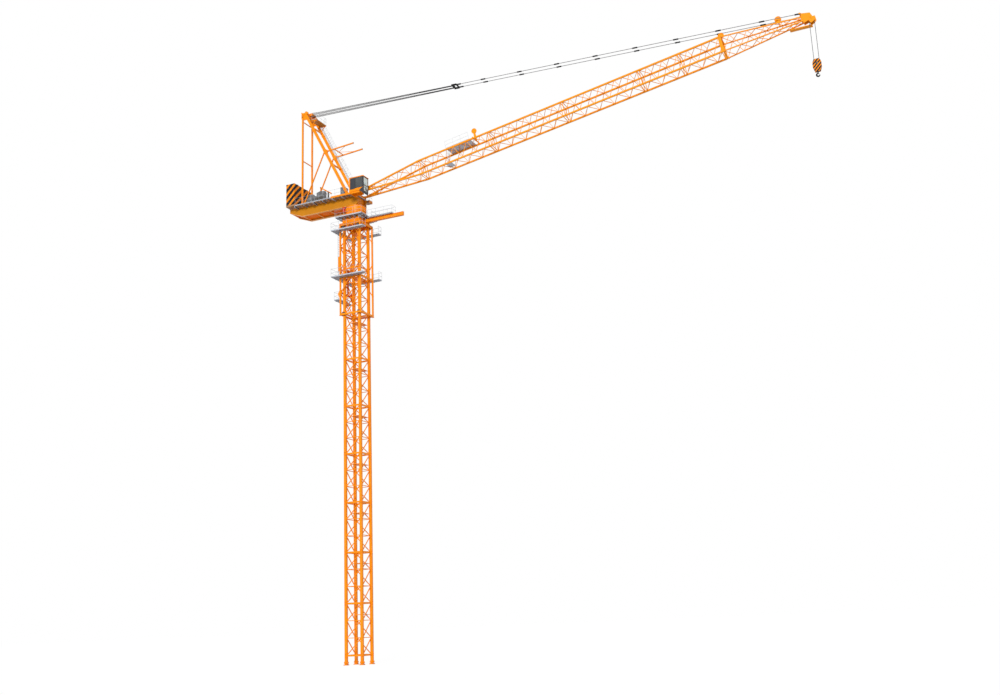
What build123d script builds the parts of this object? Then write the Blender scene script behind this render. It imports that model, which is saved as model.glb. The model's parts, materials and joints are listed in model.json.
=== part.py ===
from build123d import *
import math
import os

# A luffing-jib tower crane as a half-size model, in millimetres.
# +X is the way the jib points, +Z is up, the origin is the mast's axis at ground level.

# Mast: square lattice tower of equal sections
MAST_PITCH = 1100.0
MAST_LEG = 152.0
MAST_SECTION = 3000.0
MAST_SECTIONS = 9
MAST_BAYS = 3
MAST_STUB = 550.0
MAST_BRACE = 45.0
MAST_BRACE_THICKNESS = 45.0
MAST_JOINT_BAR = 100.0
MAST_TIE_BAR = 36.0
EDGE_STRIP = 12.0
LANDING_THICKNESS = 30.0
LANDING_DEPTH = 620.0
LANDING_DROP = 650.0

# Foot plates and their anchor holes
FOOT_SIDE = 250.0
FOOT_THICKNESS = 40.0
ANCHOR_SPACING = 190.0
ANCHOR_RADIUS = 11.0

# Climbing cage round the top of the mast
CAGE_PITCH = 1490.0
CAGE_POST = 90.0
CAGE_HEIGHT = 6120.0
CAGE_BAYS = 4
CAGE_BRACE = 45.0
CAGE_BRACE_THICKNESS = 44.0
CAGE_BEAM = 110.0
CAGE_KNEE = 1080.0
CAGE_NODE = 60.0
GUIDE_HEIGHT = 200.0
PLATFORM_WIDTH = 400.0
PLATFORM_THICKNESS = 40.0
PLATFORM_GAP = 6.0
UPPER_PLATFORM_DROP = 470.0
MIDDLE_PLATFORM_DROP = 3600.0
LOWER_PLATFORM_DROP = 5050.0
JACK_RADIUS = 42.0
JACK_ROD_RADIUS = 26.0
JACK_BEAM_DEPTH = 110.0
JACK_BEAM_WIDTH = 84.0
JACK_STROKE_LEFT = 420.0

# Slewing base, ring and the beam that brings new mast sections in
BASE_PLATE = 50.0
BASE_HEIGHT = 700.0
BASE_SIDE = 1280.0
RING_OUTER = 640.0
RING_INNER = 500.0
RING_HEIGHT = 180.0
RUNNING_CLEARANCE = 0.08
SEAT_GAP = 0.3
SLEW_WALKWAY_WIDTH = 360.0
SLEW_WALKWAY_DROP = 230.0
INTRO_BEAM_REACH = 3540.0
INTRO_BEAM_DEPTH = 200.0
INTRO_BEAM_WIDTH = 160.0
INTRO_BEAM_DROP = 400.0
INTRO_STOP = 30.0
INTRO_WALKWAY_REACH = 2840.0
INTRO_WALKWAY_WIDTH = 500.0

# Slewing upper part: turntable and machinery deck
TURNTABLE_HEIGHT = 370.0
TURNTABLE_RADIUS = 650.0
SPIGOT_DEPTH = 120.0
GIRDER_PITCH = 1000.0
GIRDER_WIDTH = 120.0
GIRDER_DEPTH = 620.0
GIRDER_REAR = -4800.0
GIRDER_REAR_DEPTH = 250.0
GIRDER_TAPER = 950.0
GIRDER_FRONT = 460.0
GIRDER_NOSE = 130.0
CROSS_BEAM = 100.0
CROSS_BEAM_LIFT = 20.0
CROSS_BEAMS = 5
DECK_PLATE = 30.0
BELLY_LIFT = 90.0
BELLY_PLATE = 20.0
DECK_WIDTH = 1240.0
WALKWAY_WIDTH = 400.0
WALKWAY_THICKNESS = 40.0
WALKWAY_FRONT = 280.0
WALKWAY_FAR_FRONT = 620.0
WALKWAY_BRACKET = 50.0
WALKWAY_BRACKET_DEPTH = 100.0
WALKWAY_BRACKETS = 7
BALLAST_SLABS = 5
BALLAST_SLAB = 125.0
BALLAST_GAP = 6.0
BALLAST_WIDTH = 2034.0
BALLAST_HEIGHT = 1600.0

# Gantry over the deck
GANTRY_PITCH = 1120.0
GANTRY_LEG = 176.0
GANTRY_LEG_THICKNESS = 110.0
GANTRY_LEG_FOOT = -190.0
GANTRY_LEG_TOP = -3590.0
GANTRY_HEIGHT = 6650.0
TIE_X = -3820.0
TIE_DEPTH = 100.0
TIE_THICKNESS = 90.0
CROSS_BAR = 80.0
LOW_CROSS_BAR = 2600.0
HIGH_CROSS_BAR = 5550.0
TIE_BAR = 50.0
TIE_CROSS_BAR = 3290.0
TIE_TOP_CROSS_BAR = 6150.0
BRACE_BAR = 70.0
BRACE_TOP = 3500.0
HEAD_DEPTH = 120.0
HEAD_GUSSET = 400.0
HEAD_REAR = -3870.0
HEAD_FRONT = -3500.0
HEAD_LUG = 40.0
HEAD_LUG_PITCH = 400.0
HEAD_SHEAVE_X = -3380.0
HEAD_SHEAVE_RISE = 100.0
HEAD_SHEAVE_RADIUS = 95.0
HEAD_SHEAVE_WIDTH = 46.0
HEAD_AXLE_RADIUS = 34.0
ROPE_SPREAD = 110.0
STOP_RISE = 3560.0
STOP_BAR = 70.0
STOP_REACH = 180.0
STOP_TILT = 150.0
STOP_CROSS_BAR = 50.0
STOP_CROSS_BAR_REACH = 600.0
HEAD_PLATFORM_REACH = 480.0
HEAD_PLATFORM_DROP = 550.0

# Machinery on the deck
DRUM_X = -3300.0
DRUM_RADIUS = 300.0
DRUM_FLANGE_RADIUS = 420.0
DRUM_FLANGE = 30.0
DRUM_LENGTH = 660.0
DRUM_HEIGHT = 440.0
DRUM_STAND = 40.0
DRUM_STAND_WIDTH = 420.0
MOTOR_LENGTH = 560.0
MOTOR_RADIUS = 170.0
MOTOR_X = -2520.0
MOTOR_Y = -250.0
MOTOR_BASE = 580.0
CABINET_DEPTH = 300.0
CABINET_WIDTH = 460.0
CABINET_HEIGHT = 900.0
CABINET_X = -900.0

# Operator's cab, a hollow box with glazed openings
CAB_REAR = 350.0
CAB_LENGTH = 1060.0
CAB_WIDTH = 620.0
CAB_HEIGHT = 960.0
CAB_SIDE_GAP = 160.0
CAB_DROP = 100.0
CAB_WALL = 40.0
CAB_CHIN_REACH = 300.0
CAB_CHIN_DROP = 200.0
CAB_CHIN_NOSE = 70.0
CAB_CHIN_NOSE_RISE = 60.0
CAB_FRONT_SILL = 60.0
CAB_SILL = 190.0
CAB_HEADER = 60.0
CAB_PILLAR = 50.0
CAB_SIDE_WINDOW = 560.0
GLASS = 12.0
GLASS_CLEARANCE = 0.3
CAB_BEAM = 80.0
CAB_BEAM_DEPTH = 120.0
CAB_BEAM_INSET = 40.0

# Jib: pivot on the deck, angle at rest and lattice
PIVOT_X = 330.0
PIVOT_RISE = 151.0
JIB_ANGLE = 9.6
JIB_PITCH = 965.0
JIB_DEPTH = 952.0
JIB_CHORD = 90.0
JIB_BRACE = 26.0
JIB_BRACE_THICKNESS = 26.0
JIB_FRAME_BAR = 36.0
JIB_FRAME_HALF_GAP = 70.0
JIB_FOOT = 4800.0
JIB_FOOT_PLATE = 1100.0
JIB_LONG = 5000.0
JIB_SHORT = 2500.0
JIB_BAY = 500.0
JIB_TIP = 4600.0
JIB_TIP_CHORD = 60.0
JIB_TIP_TOP = -150.0
JIB_TIP_BOTTOM = -400.0
JIB_TIP_PITCH = 290.0
PIN_RADIUS = 40.0
LUG_RADIUS = 85.0
LUG_PLATE = 30.0
LUG_GAP = 5.0
LUG_WIDTH = 220.0

# Jib head, sheaves and platforms
HEAD_PLATE = 40.0
HEAD_LOW_CORNERS = ((0.0, -550.0), (290.0, -490.0))
HEAD_SEAT = (340.0, 420.0)
HEAD_SEAT_DROP = 680.0
HEAD_NOSE_CORNERS = ((570.0, -620.0), (680.0, -520.0), (676.0, -365.0), (545.0, -352.0), (465.0, -74.0),
                     (41.0, 64.0))
TIP_SHEAVE_REACH = 466.0
TIP_SHEAVE_RISE = 23.0
TIP_SHEAVE_RADIUS = 130.0
TIP_SHEAVE_WIDTH = 50.0
PENDANT_SETBACK = 60.0
PENDANT_RISE = 207.0
PENDANT_PIN = 26.0
PENDANT_EYE = 60.0
GUIDE_PLATE = 20.0
GUIDE_WIDTH = 60.0
FIRST_GUIDE = 3926.0
FIRST_GUIDE_RISE = 746.0
FIRST_GUIDE_RADIUS = 170.0
SECOND_GUIDE_REACH = 70.0
SECOND_GUIDE_RISE = 310.0
SECOND_GUIDE_RADIUS = 180.0
THIRD_GUIDE_SETBACK = 1270.0
THIRD_GUIDE_RISE = 337.0
THIRD_GUIDE_RADIUS = 190.0
GUIDE_BEAM = 60.0
JIB_PLATFORM_START = 2000.0
JIB_PLATFORM_LENGTH = 1700.0
JIB_PLATFORM_THICKNESS = 30.0
TIP_PLATFORM_REAR = 840.0
TIP_PLATFORM_FRONT = 400.0
TIP_PLATFORM_INNER = 60.0
TIP_PLATFORM_WIDTH = 280.0
TIP_PLATFORM_THICKNESS = 50.0

# Pendants, luffing ropes, hoist rope and hook
PENDANT_LENGTH = 21570.0
PENDANT_RADIUS = 18.0
PENDANT_LINKS = 8
FIRST_LINK = 2120.0
LINK_PITCH = 2510.0
LINK_LENGTH = 240.0
LINK_WIDTH = 56.0
BLOCK_SHEAVE_RADIUS = 75.0
BLOCK_PLATE = 24.0
BLOCK_LENGTH = 360.0
BLOCK_DEPTH = 130.0
ROPE_RADIUS = 9.0
FALL_LENGTH = 2780.0
HOOK_BLOCK_TOP = 258.0
HOOK_BLOCK_SHOULDER = 76.0
HOOK_BLOCK_WAIST = 228.0
HOOK_BLOCK_BOTTOM = 502.0
HOOK_BLOCK_WIDTH = 470.0
HOOK_BLOCK_END_WIDTH = 290.0
HOOK_BLOCK_GAP = 60.0
HOOK_CHEEK = 50.0
HOOK_SHANK_RADIUS = 34.0
HOOK_SHANK_LENGTH = 90.0
HOOK_RADIUS = 105.0
HOOK_THICKNESS = 58.0
HOOK_SWEEP = 270
HOOK_FACET = 30


def box(x0, x1, y0, y1, z0, z1):
    """A plain block between two corners."""
    low = (min(x0, x1), min(y0, y1), min(z0, z1))
    return Pos(*low) * Solid.make_box(abs(x1 - x0), abs(y1 - y0), abs(z1 - z0))


def rod(start, end, radius):
    """A round bar between two points."""
    along = Vector(*end) - Vector(*start)
    return Solid.make_cylinder(radius, along.length, Plane(origin=start, z_dir=along))


def side_plate(points, y0, y1, holes=()):
    """A plate with an outline in X and Z, and its thickness along Y."""
    def wire(outline):
        return Wire.make_polygon([(x, y0, z) for x, z in outline])
    return Solid.extrude(Face(wire(points), [wire(hole) for hole in holes]), Vector(0, y1 - y0, 0))


def fuse(first, *others):
    """One solid from solids that meet or cross."""
    joined = first.fuse(*others)
    solids = joined.solids()
    return solids[0] if len(solids) == 1 else joined


def cut(body, *tools):
    """A solid with others taken away."""
    return body.cut(*tools).solids()[0]


def save(name, *shapes):
    """Writes one named piece, which may be several solids that don't touch."""
    solids = [solid for shape in shapes for solid in shape.solids()]
    shape = solids[0] if len(solids) == 1 else Compound(children=solids)
    export_step(shape, f"parts/{name}.step")


def inset(corners, margins):
    """A convex cell's opening: each edge moved inwards by half the width of the bar along it."""
    area = sum(a[0] * b[1] - b[0] * a[1] for a, b in zip(corners, corners[1:] + corners[:1]))
    turn = 1.0 if area > 0 else -1.0
    lines = []
    for (x0, y0), (x1, y1), margin in zip(corners, corners[1:] + corners[:1], margins):
        length = math.hypot(x1 - x0, y1 - y0)
        nx, ny = -turn * (y1 - y0) / length, turn * (x1 - x0) / length
        lines.append((nx, ny, nx * x0 + ny * y0 + margin))
    opening = []
    for (a, b, c), (d, e, f) in zip(lines[-1:] + lines[:-1], lines):
        det = a * e - b * d
        opening.append(((c * e - b * f) / det, (a * f - c * d) / det))
    return opening


def crossed_bay(u0, u1, v0, v1, leg_half, low_half, high_half, brace_half):
    """The four openings of a bay with crossed braces, between legs u and bars v."""
    centre = ((u0 + u1) / 2, (v0 + v1) / 2)
    a, b, c, d = (u0, v0), (u1, v0), (u1, v1), (u0, v1)
    cells = []
    for p, q, half in ((a, b, low_half), (b, c, leg_half), (c, d, high_half), (d, a, leg_half)):
        cells.append(inset([p, q, centre], [half, brace_half, brace_half]))
    return cells


def diagonal_bay(u0, u1, v0, v1, rising, leg_half, low_half, high_half, brace_half):
    """The two openings of a bay with one brace, which rises along u or against it."""
    left, right, low, high = u0 + leg_half, u1 - leg_half, v0 + low_half, v1 - high_half
    a, b, c, d = (left, low), (right, low), (right, high), (left, high)
    if rising > 0:
        return [inset([a, b, c], [0, 0, brace_half]), inset([a, c, d], [brace_half, 0, 0])]
    return [inset([a, b, d], [0, brace_half, 0]), inset([b, c, d], [0, 0, brace_half])]


def zigzag(start, end, low, high, count, low_half, high_half, frame_half, brace_half):
    """The openings of a stretch with a zigzag brace between two chords and end frames."""
    step = (end - start) / count
    nodes = []
    for i in range(count + 1):
        u = start + i * step
        nodes.append((u, low(u)) if i % 2 == 0 else (u, high(u)))
    cells = [inset([(start, high(start)), nodes[0], nodes[1]], [frame_half, brace_half, high_half])]
    for i in range(count - 1):
        edge = low_half if i % 2 == 0 else high_half
        cells.append(inset([nodes[i], nodes[i + 1], nodes[i + 2]], [brace_half, brace_half, edge]))
    last = (end, high(end)) if count % 2 == 0 else (end, low(end))
    edge = high_half if count % 2 == 0 else low_half
    cells.append(inset([nodes[-2], nodes[-1], last], [brace_half, frame_half, edge]))
    return cells


os.makedirs("parts", exist_ok=True)

# Mast
half_mast = MAST_PITCH / 2
leg_inner = half_mast - MAST_LEG / 2
leg_outer = half_mast + MAST_LEG / 2
mast_top = MAST_STUB + MAST_SECTION * MAST_SECTIONS


def mast_openings(leg_half, rising):
    """Openings of one face of the mast, section by section, with one brace in each bay."""
    cells = []
    bay = MAST_SECTION / MAST_BAYS
    for section in range(MAST_SECTIONS):
        for step in range(MAST_BAYS):
            low = MAST_STUB + section * MAST_SECTION + step * bay
            low_half = MAST_JOINT_BAR / 2 if step == 0 else MAST_TIE_BAR / 2
            high_half = MAST_JOINT_BAR / 2 if step == MAST_BAYS - 1 else MAST_TIE_BAR / 2
            cells += diagonal_bay(-half_mast, half_mast, low, low + bay, rising, leg_half, low_half, high_half,
                                  MAST_BRACE / 2)
    return cells


def mast_side(y, rising):
    """One side of the mast: two legs with the bracing between them."""
    bottom = MAST_STUB - MAST_JOINT_BAR / 2
    outline = [(-half_mast, bottom), (half_mast, bottom), (half_mast, mast_top), (-half_mast, mast_top)]
    half = MAST_BRACE_THICKNESS / 2
    bracing = side_plate(outline, y - half, y + half, mast_openings(MAST_LEG / 2, rising))
    legs = []
    for x in (-half_mast, half_mast):
        legs.append(box(x - MAST_LEG / 2, x + MAST_LEG / 2, y - MAST_LEG / 2, y + MAST_LEG / 2,
                        FOOT_THICKNESS, mast_top))
    return fuse(bracing, *legs)


def mast_cross_side(x, rising):
    """The bracing of the front or rear of the mast, between the legs of its sides."""
    bottom = MAST_STUB - MAST_JOINT_BAR / 2
    outline = [(-leg_inner, bottom), (leg_inner, bottom), (leg_inner, mast_top), (-leg_inner, mast_top)]
    half = MAST_BRACE_THICKNESS / 2
    plate = side_plate(outline, -half, half, mast_openings(MAST_LEG / 2 + EDGE_STRIP, rising))
    return Pos(x, 0, 0) * Rot(0, 0, 90) * plate


save("mast_left_side", mast_side(half_mast, -1))
save("mast_right_side", mast_side(-half_mast, 1))
save("mast_cross_bracing", mast_cross_side(half_mast, 1), mast_cross_side(-half_mast, -1))

feet = []
for x in (-half_mast, half_mast):
    for y in (-half_mast, half_mast):
        half = FOOT_SIDE / 2
        plate = box(x - half, x + half, y - half, y + half, 0, FOOT_THICKNESS)
        holes = []
        for hole_x in (x - ANCHOR_SPACING / 2, x + ANCHOR_SPACING / 2):
            for hole_y in (y - ANCHOR_SPACING / 2, y + ANCHOR_SPACING / 2):
                holes.append(rod((hole_x, hole_y, -FOOT_THICKNESS), (hole_x, hole_y, 2 * FOOT_THICKNESS),
                                 ANCHOR_RADIUS))
        feet.append(cut(plate, *holes))
save("mast_feet", *feet)

landings = []
landing_half = half_mast - MAST_BRACE_THICKNESS / 2
for section in range(MAST_SECTIONS):
    top = MAST_STUB + (section + 1) * MAST_SECTION - LANDING_DROP
    landings.append(box(leg_inner - EDGE_STRIP - LANDING_DEPTH, leg_inner - EDGE_STRIP,
                        -landing_half, landing_half, top - LANDING_THICKNESS, top))
save("mast_landings", *landings)

# Climbing cage
half_cage = CAGE_PITCH / 2
cage_inner = half_cage - CAGE_POST / 2
cage_outer = half_cage + CAGE_POST / 2
cage_bottom = mast_top - CAGE_HEIGHT
cage_bay = CAGE_HEIGHT / CAGE_BAYS


upper_level = mast_top - UPPER_PLATFORM_DROP
middle_level = mast_top - MIDDLE_PLATFORM_DROP
lower_level = mast_top - LOWER_PLATFORM_DROP


def rear_openings(post_half):
    """Openings of the cage's rear, with crossed braces."""
    cells = []
    for step in range(CAGE_BAYS):
        low = cage_bottom + step * cage_bay
        low_half = CAGE_BEAM if step == 0 else CAGE_BEAM / 2
        high_half = CAGE_BEAM if step == CAGE_BAYS - 1 else CAGE_BEAM / 2
        cells += crossed_bay(-half_cage, half_cage, low, low + cage_bay, post_half, low_half, high_half,
                             CAGE_BRACE / 2)
    return cells


def knee_openings(level, beam_half, rise):
    """The two corner openings beside a pair of knee braces from a beam's middle to the posts."""
    cells = []
    for side in (-1, 1):
        corners = [(side * half_cage, level), (side * CAGE_NODE, level), (side * half_cage, level + rise)]
        cells.append(inset(corners, [beam_half, CAGE_BRACE / 2, CAGE_POST / 2]))
    return cells


def side_openings():
    """Openings of one side of the cage, with knee braces over and under its beams."""
    beam, brace, post = CAGE_BEAM / 2, CAGE_BRACE / 2, CAGE_POST / 2
    middle = middle_level - beam
    low_knee, mid_knee, top_knee = middle - CAGE_KNEE, middle + CAGE_KNEE, mast_top - CAGE_KNEE
    low_cell = [(-half_cage, cage_bottom), (half_cage, cage_bottom), (half_cage, low_knee),
                (CAGE_NODE, middle), (-CAGE_NODE, middle), (-half_cage, low_knee)]
    high_cell = [(-CAGE_NODE, middle), (CAGE_NODE, middle), (half_cage, mid_knee), (half_cage, top_knee),
                 (CAGE_NODE, mast_top), (-CAGE_NODE, mast_top), (-half_cage, top_knee), (-half_cage, mid_knee)]
    cells = [inset(low_cell, [CAGE_BEAM, post, brace, beam, brace, post]),
             inset(high_cell, [beam, brace, post, brace, CAGE_BEAM, brace, post, brace])]
    cells += knee_openings(middle, beam, -CAGE_KNEE)
    cells += knee_openings(middle, beam, CAGE_KNEE)
    cells += knee_openings(mast_top, CAGE_BEAM, -CAGE_KNEE)
    return cells


def cage_side(y):
    """One braced side of the cage with its two corner posts."""
    outline = [(-half_cage, cage_bottom), (half_cage, cage_bottom),
               (half_cage, mast_top), (-half_cage, mast_top)]
    half = CAGE_BRACE_THICKNESS / 2
    bracing = side_plate(outline, y - half, y + half, side_openings())
    posts = []
    for x in (-half_cage, half_cage):
        posts.append(box(x - CAGE_POST / 2, x + CAGE_POST / 2, y - CAGE_POST / 2, y + CAGE_POST / 2,
                         cage_bottom, mast_top))
    return fuse(bracing, *posts)


save("cage_left_side", cage_side(half_cage))
save("cage_right_side", cage_side(-half_cage))

rear_outline = [(-cage_inner, cage_bottom), (cage_inner, cage_bottom),
                (cage_inner, mast_top), (-cage_inner, mast_top)]
rear_plate = side_plate(rear_outline, -CAGE_BRACE_THICKNESS / 2, CAGE_BRACE_THICKNESS / 2,
                        rear_openings(CAGE_POST / 2 + EDGE_STRIP))
save("cage_rear_bracing", Pos(-half_cage, 0, 0) * Rot(0, 0, 90) * rear_plate)

front_beams = []
for low in (cage_bottom, middle_level - CAGE_BEAM, mast_top - CAGE_BEAM):
    front_beams.append(box(half_cage - CAGE_POST / 2, half_cage + CAGE_POST / 2, -cage_inner, cage_inner,
                           low, low + CAGE_BEAM))
save("cage_front_beams", *front_beams)

guides = []
for low in (cage_bottom, mast_top - GUIDE_HEIGHT):
    for side in (-1, 1):
        for x in (-half_mast, half_mast):
            guides.append(box(x - MAST_LEG / 2, x + MAST_LEG / 2, side * leg_outer,
                              side * (half_cage - CAGE_BRACE_THICKNESS / 2), low, low + GUIDE_HEIGHT))
save("cage_guide_shoes", *guides)


def ring_walk(inner, width, top, thickness, sides):
    """Walkway strips round a square, each on its own side, with a joint between them."""
    outer = inner + width
    strips = []
    if "left" in sides:
        strips.append(box(-outer, outer, inner, outer, top - thickness, top))
    if "right" in sides:
        strips.append(box(-outer, outer, -outer, -inner, top - thickness, top))
    if "front" in sides:
        strips.append(box(inner, outer, -inner + PLATFORM_GAP, inner - PLATFORM_GAP, top - thickness, top))
    if "rear" in sides:
        strips.append(box(-outer, -inner, -inner + PLATFORM_GAP, inner - PLATFORM_GAP, top - thickness, top))
    return strips


all_round = ("left", "right", "front", "rear")
front_open = ("left", "right", "rear")
rear_only = ("rear",)
cage_platforms = (
    ("upper", upper_level, front_open), ("middle", middle_level, front_open), ("lower", lower_level, rear_only))
for name, level, sides in cage_platforms:
    save(f"cage_{name}_platform", *ring_walk(cage_outer, PLATFORM_WIDTH, level, PLATFORM_THICKNESS, sides))

# Climbing jack between the cage's rear and the mast
jack_top = cage_bottom + 2 * cage_bay - JACK_BEAM_DEPTH / 2
jack_bottom = cage_bottom + cage_bay
jack_x = -(leg_outer + JACK_BEAM_WIDTH / 2)
lower_beam = box(-leg_outer - JACK_BEAM_WIDTH, -leg_outer, -half_mast, half_mast,
                 jack_bottom - JACK_BEAM_DEPTH, jack_bottom)
cage_rear_face = -half_cage + CAGE_BRACE_THICKNESS / 2
upper_beam = box(cage_rear_face, cage_rear_face + JACK_BEAM_WIDTH, -half_mast, half_mast,
                 jack_top, jack_top + JACK_BEAM_DEPTH)
barrel_top = jack_top - JACK_STROKE_LEFT
save("jack_beams", lower_beam, upper_beam)
save("jack_cylinder", fuse(rod((jack_x, 0, jack_bottom), (jack_x, 0, barrel_top), JACK_RADIUS),
                           rod((jack_x, 0, barrel_top), (jack_x, 0, jack_top), JACK_ROD_RADIUS)))

# Slewing base, fixed ring, walkway and section beam
base_top = mast_top + BASE_HEIGHT
base_half = BASE_SIDE / 2
save("slew_base", fuse(box(-cage_outer, cage_outer, -cage_outer, cage_outer, mast_top, mast_top + BASE_PLATE),
                       box(-base_half, base_half, -base_half, base_half, mast_top + BASE_PLATE, base_top)))
ring_top = base_top + RING_HEIGHT
save("slew_ring", cut(rod((0, 0, base_top), (0, 0, ring_top), RING_OUTER),
                      rod((0, 0, base_top - RING_HEIGHT), (0, 0, ring_top + RING_HEIGHT), RING_INNER)))
slew_walk_top = base_top - SLEW_WALKWAY_DROP
save("slew_walkway", *ring_walk(base_half, SLEW_WALKWAY_WIDTH, slew_walk_top, PLATFORM_THICKNESS, all_round))
beam_top = base_top - INTRO_BEAM_DROP
beam_bottom = beam_top - INTRO_BEAM_DEPTH
save("introduction_beam", fuse(
    box(base_half, INTRO_BEAM_REACH, -INTRO_BEAM_WIDTH / 2, INTRO_BEAM_WIDTH / 2, beam_bottom, beam_top),
    box(INTRO_BEAM_REACH - INTRO_STOP, INTRO_BEAM_REACH, -INTRO_BEAM_WIDTH / 2, INTRO_BEAM_WIDTH / 2,
        beam_bottom - INTRO_STOP, beam_top + INTRO_STOP)))
save("introduction_walkway", box(base_half + SLEW_WALKWAY_WIDTH + PLATFORM_GAP, INTRO_WALKWAY_REACH,
                                 -INTRO_WALKWAY_WIDTH / 2, INTRO_WALKWAY_WIDTH / 2,
                                 beam_top, beam_top + PLATFORM_THICKNESS))

# Turntable and deck
turntable_bottom = ring_top + SEAT_GAP
deck_bottom = ring_top + TURNTABLE_HEIGHT
spigot_radius = RING_INNER - RUNNING_CLEARANCE
save("turntable", fuse(rod((0, 0, turntable_bottom), (0, 0, deck_bottom), TURNTABLE_RADIUS),
                       rod((0, 0, ring_top - SPIGOT_DEPTH), (0, 0, turntable_bottom), spigot_radius)))
girder_top = deck_bottom + GIRDER_DEPTH
deck_top = girder_top + DECK_PLATE
half_girder = GIRDER_PITCH / 2
girder_inner = half_girder - GIRDER_WIDTH / 2
girder_outer = half_girder + GIRDER_WIDTH / 2
girder_outline = [
    (GIRDER_REAR, girder_top), (GIRDER_REAR, girder_top - GIRDER_REAR_DEPTH),
    (GIRDER_REAR + GIRDER_TAPER, deck_bottom), (GIRDER_FRONT - GIRDER_NOSE, deck_bottom),
    (GIRDER_FRONT, deck_bottom + GIRDER_NOSE), (GIRDER_FRONT, girder_top)]
save("deck_girders", side_plate(girder_outline, girder_inner, girder_outer),
     side_plate(girder_outline, -girder_outer, -girder_inner))
cross_beams = []
beam_start = GIRDER_REAR + GIRDER_TAPER
beam_step = (GIRDER_FRONT - GIRDER_NOSE - beam_start - CROSS_BEAM) / (CROSS_BEAMS - 1)
beam_xs = [beam_start + i * beam_step for i in range(CROSS_BEAMS)]
for x in beam_xs:
    cross_beams.append(box(x, x + CROSS_BEAM, -girder_inner, girder_inner,
                           deck_bottom + CROSS_BEAM_LIFT, girder_top))
cross_beams.append(box(GIRDER_REAR, GIRDER_REAR + CROSS_BEAM, -girder_inner, girder_inner,
                       girder_top - GIRDER_REAR_DEPTH, girder_top))
save("deck_cross_beams", *cross_beams)
half_deck = DECK_WIDTH / 2
belly_low = deck_bottom + BELLY_LIFT
belly = []
for x, next_x in zip(beam_xs, beam_xs[1:]):
    belly.append(box(x + CROSS_BEAM, next_x, -girder_inner, girder_inner, belly_low, belly_low + BELLY_PLATE))
floor_plate = box(GIRDER_REAR, GIRDER_FRONT, -half_deck, half_deck, girder_top, deck_top)
save("deck_floor", floor_plate, *belly)

ballast_front = GIRDER_REAR + BALLAST_SLABS * BALLAST_SLAB + (BALLAST_SLABS - 1) * BALLAST_GAP


def deck_walk(side, front):
    """A grated walkway along one side of the deck, on brackets from the girder."""
    low = deck_top - WALKWAY_THICKNESS
    outer_y = side * (half_deck + WALKWAY_WIDTH)
    strip = box(ballast_front, front, side * half_deck, outer_y, low, deck_top)
    brackets = []
    step = (WALKWAY_FRONT - ballast_front - WALKWAY_BRACKET) / (WALKWAY_BRACKETS - 1)
    for i in range(WALKWAY_BRACKETS):
        x = ballast_front + i * step
        brackets.append(box(x, x + WALKWAY_BRACKET, side * girder_outer, outer_y,
                            low - WALKWAY_BRACKET_DEPTH, low))
    return fuse(strip, *brackets)


save("deck_walkways", deck_walk(-1, WALKWAY_FRONT), deck_walk(1, WALKWAY_FAR_FRONT))
slabs = []
for i in range(BALLAST_SLABS):
    x = GIRDER_REAR + i * (BALLAST_SLAB + BALLAST_GAP)
    slabs.append(box(x, x + BALLAST_SLAB, -BALLAST_WIDTH / 2, BALLAST_WIDTH / 2,
                     deck_top, deck_top + BALLAST_HEIGHT))
save("counterweights", *slabs)

# Gantry
half_gantry = GANTRY_PITCH / 2
gantry_top = deck_top + GANTRY_HEIGHT
lean = (GANTRY_LEG_TOP - GANTRY_LEG_FOOT) / GANTRY_HEIGHT
leg_half_width = GANTRY_LEG / 2 * math.hypot(1, lean)
leg_y0 = half_gantry - GANTRY_LEG_THICKNESS / 2
leg_y1 = half_gantry + GANTRY_LEG_THICKNESS / 2


def leg_front(z):
    """X of the front face of the leaning legs at a height."""
    return GANTRY_LEG_FOOT + lean * (z - deck_top) + leg_half_width


def leg_rear(z):
    """X of the rear face of the leaning legs at a height."""
    return leg_front(z) - 2 * leg_half_width


leg_outline = [(leg_rear(deck_top), deck_top), (leg_front(deck_top), deck_top),
               (leg_front(gantry_top), gantry_top), (leg_rear(gantry_top), gantry_top)]
save("gantry_front_legs", side_plate(leg_outline, leg_y0, leg_y1), side_plate(leg_outline, -leg_y1, -leg_y0))
tie_y0 = half_gantry - TIE_THICKNESS / 2
tie_y1 = half_gantry + TIE_THICKNESS / 2
ties = []
for side in (-1, 1):
    ties.append(box(TIE_X - TIE_DEPTH / 2, TIE_X + TIE_DEPTH / 2, side * tie_y0, side * tie_y1,
                    deck_top, gantry_top))
save("gantry_rear_ties", *ties)

cross_bars = []
for rise in (LOW_CROSS_BAR, HIGH_CROSS_BAR):
    x = GANTRY_LEG_FOOT + lean * rise
    z = deck_top + rise
    cross_bars.append(box(x - CROSS_BAR / 2, x + CROSS_BAR / 2, -leg_y0, leg_y0,
                          z - CROSS_BAR / 2, z + CROSS_BAR / 2))
for rise in (TIE_CROSS_BAR, TIE_TOP_CROSS_BAR):
    z = deck_top + rise
    cross_bars.append(box(TIE_X - TIE_BAR / 2, TIE_X + TIE_BAR / 2, -tie_y0, tie_y0,
                          z - TIE_BAR / 2, z + TIE_BAR / 2))
save("gantry_cross_bars", *cross_bars)

brace_foot = TIE_X + TIE_DEPTH / 2
brace_lean = (leg_rear(deck_top + BRACE_TOP) - brace_foot - BRACE_BAR) / BRACE_TOP


def brace_meets_leg(x):
    """Where a brace edge that starts at x on the deck meets the rear face of the leaning leg."""
    rise = (leg_rear(deck_top) - x) / (brace_lean - lean)
    return (x + brace_lean * rise, deck_top + rise)


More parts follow.
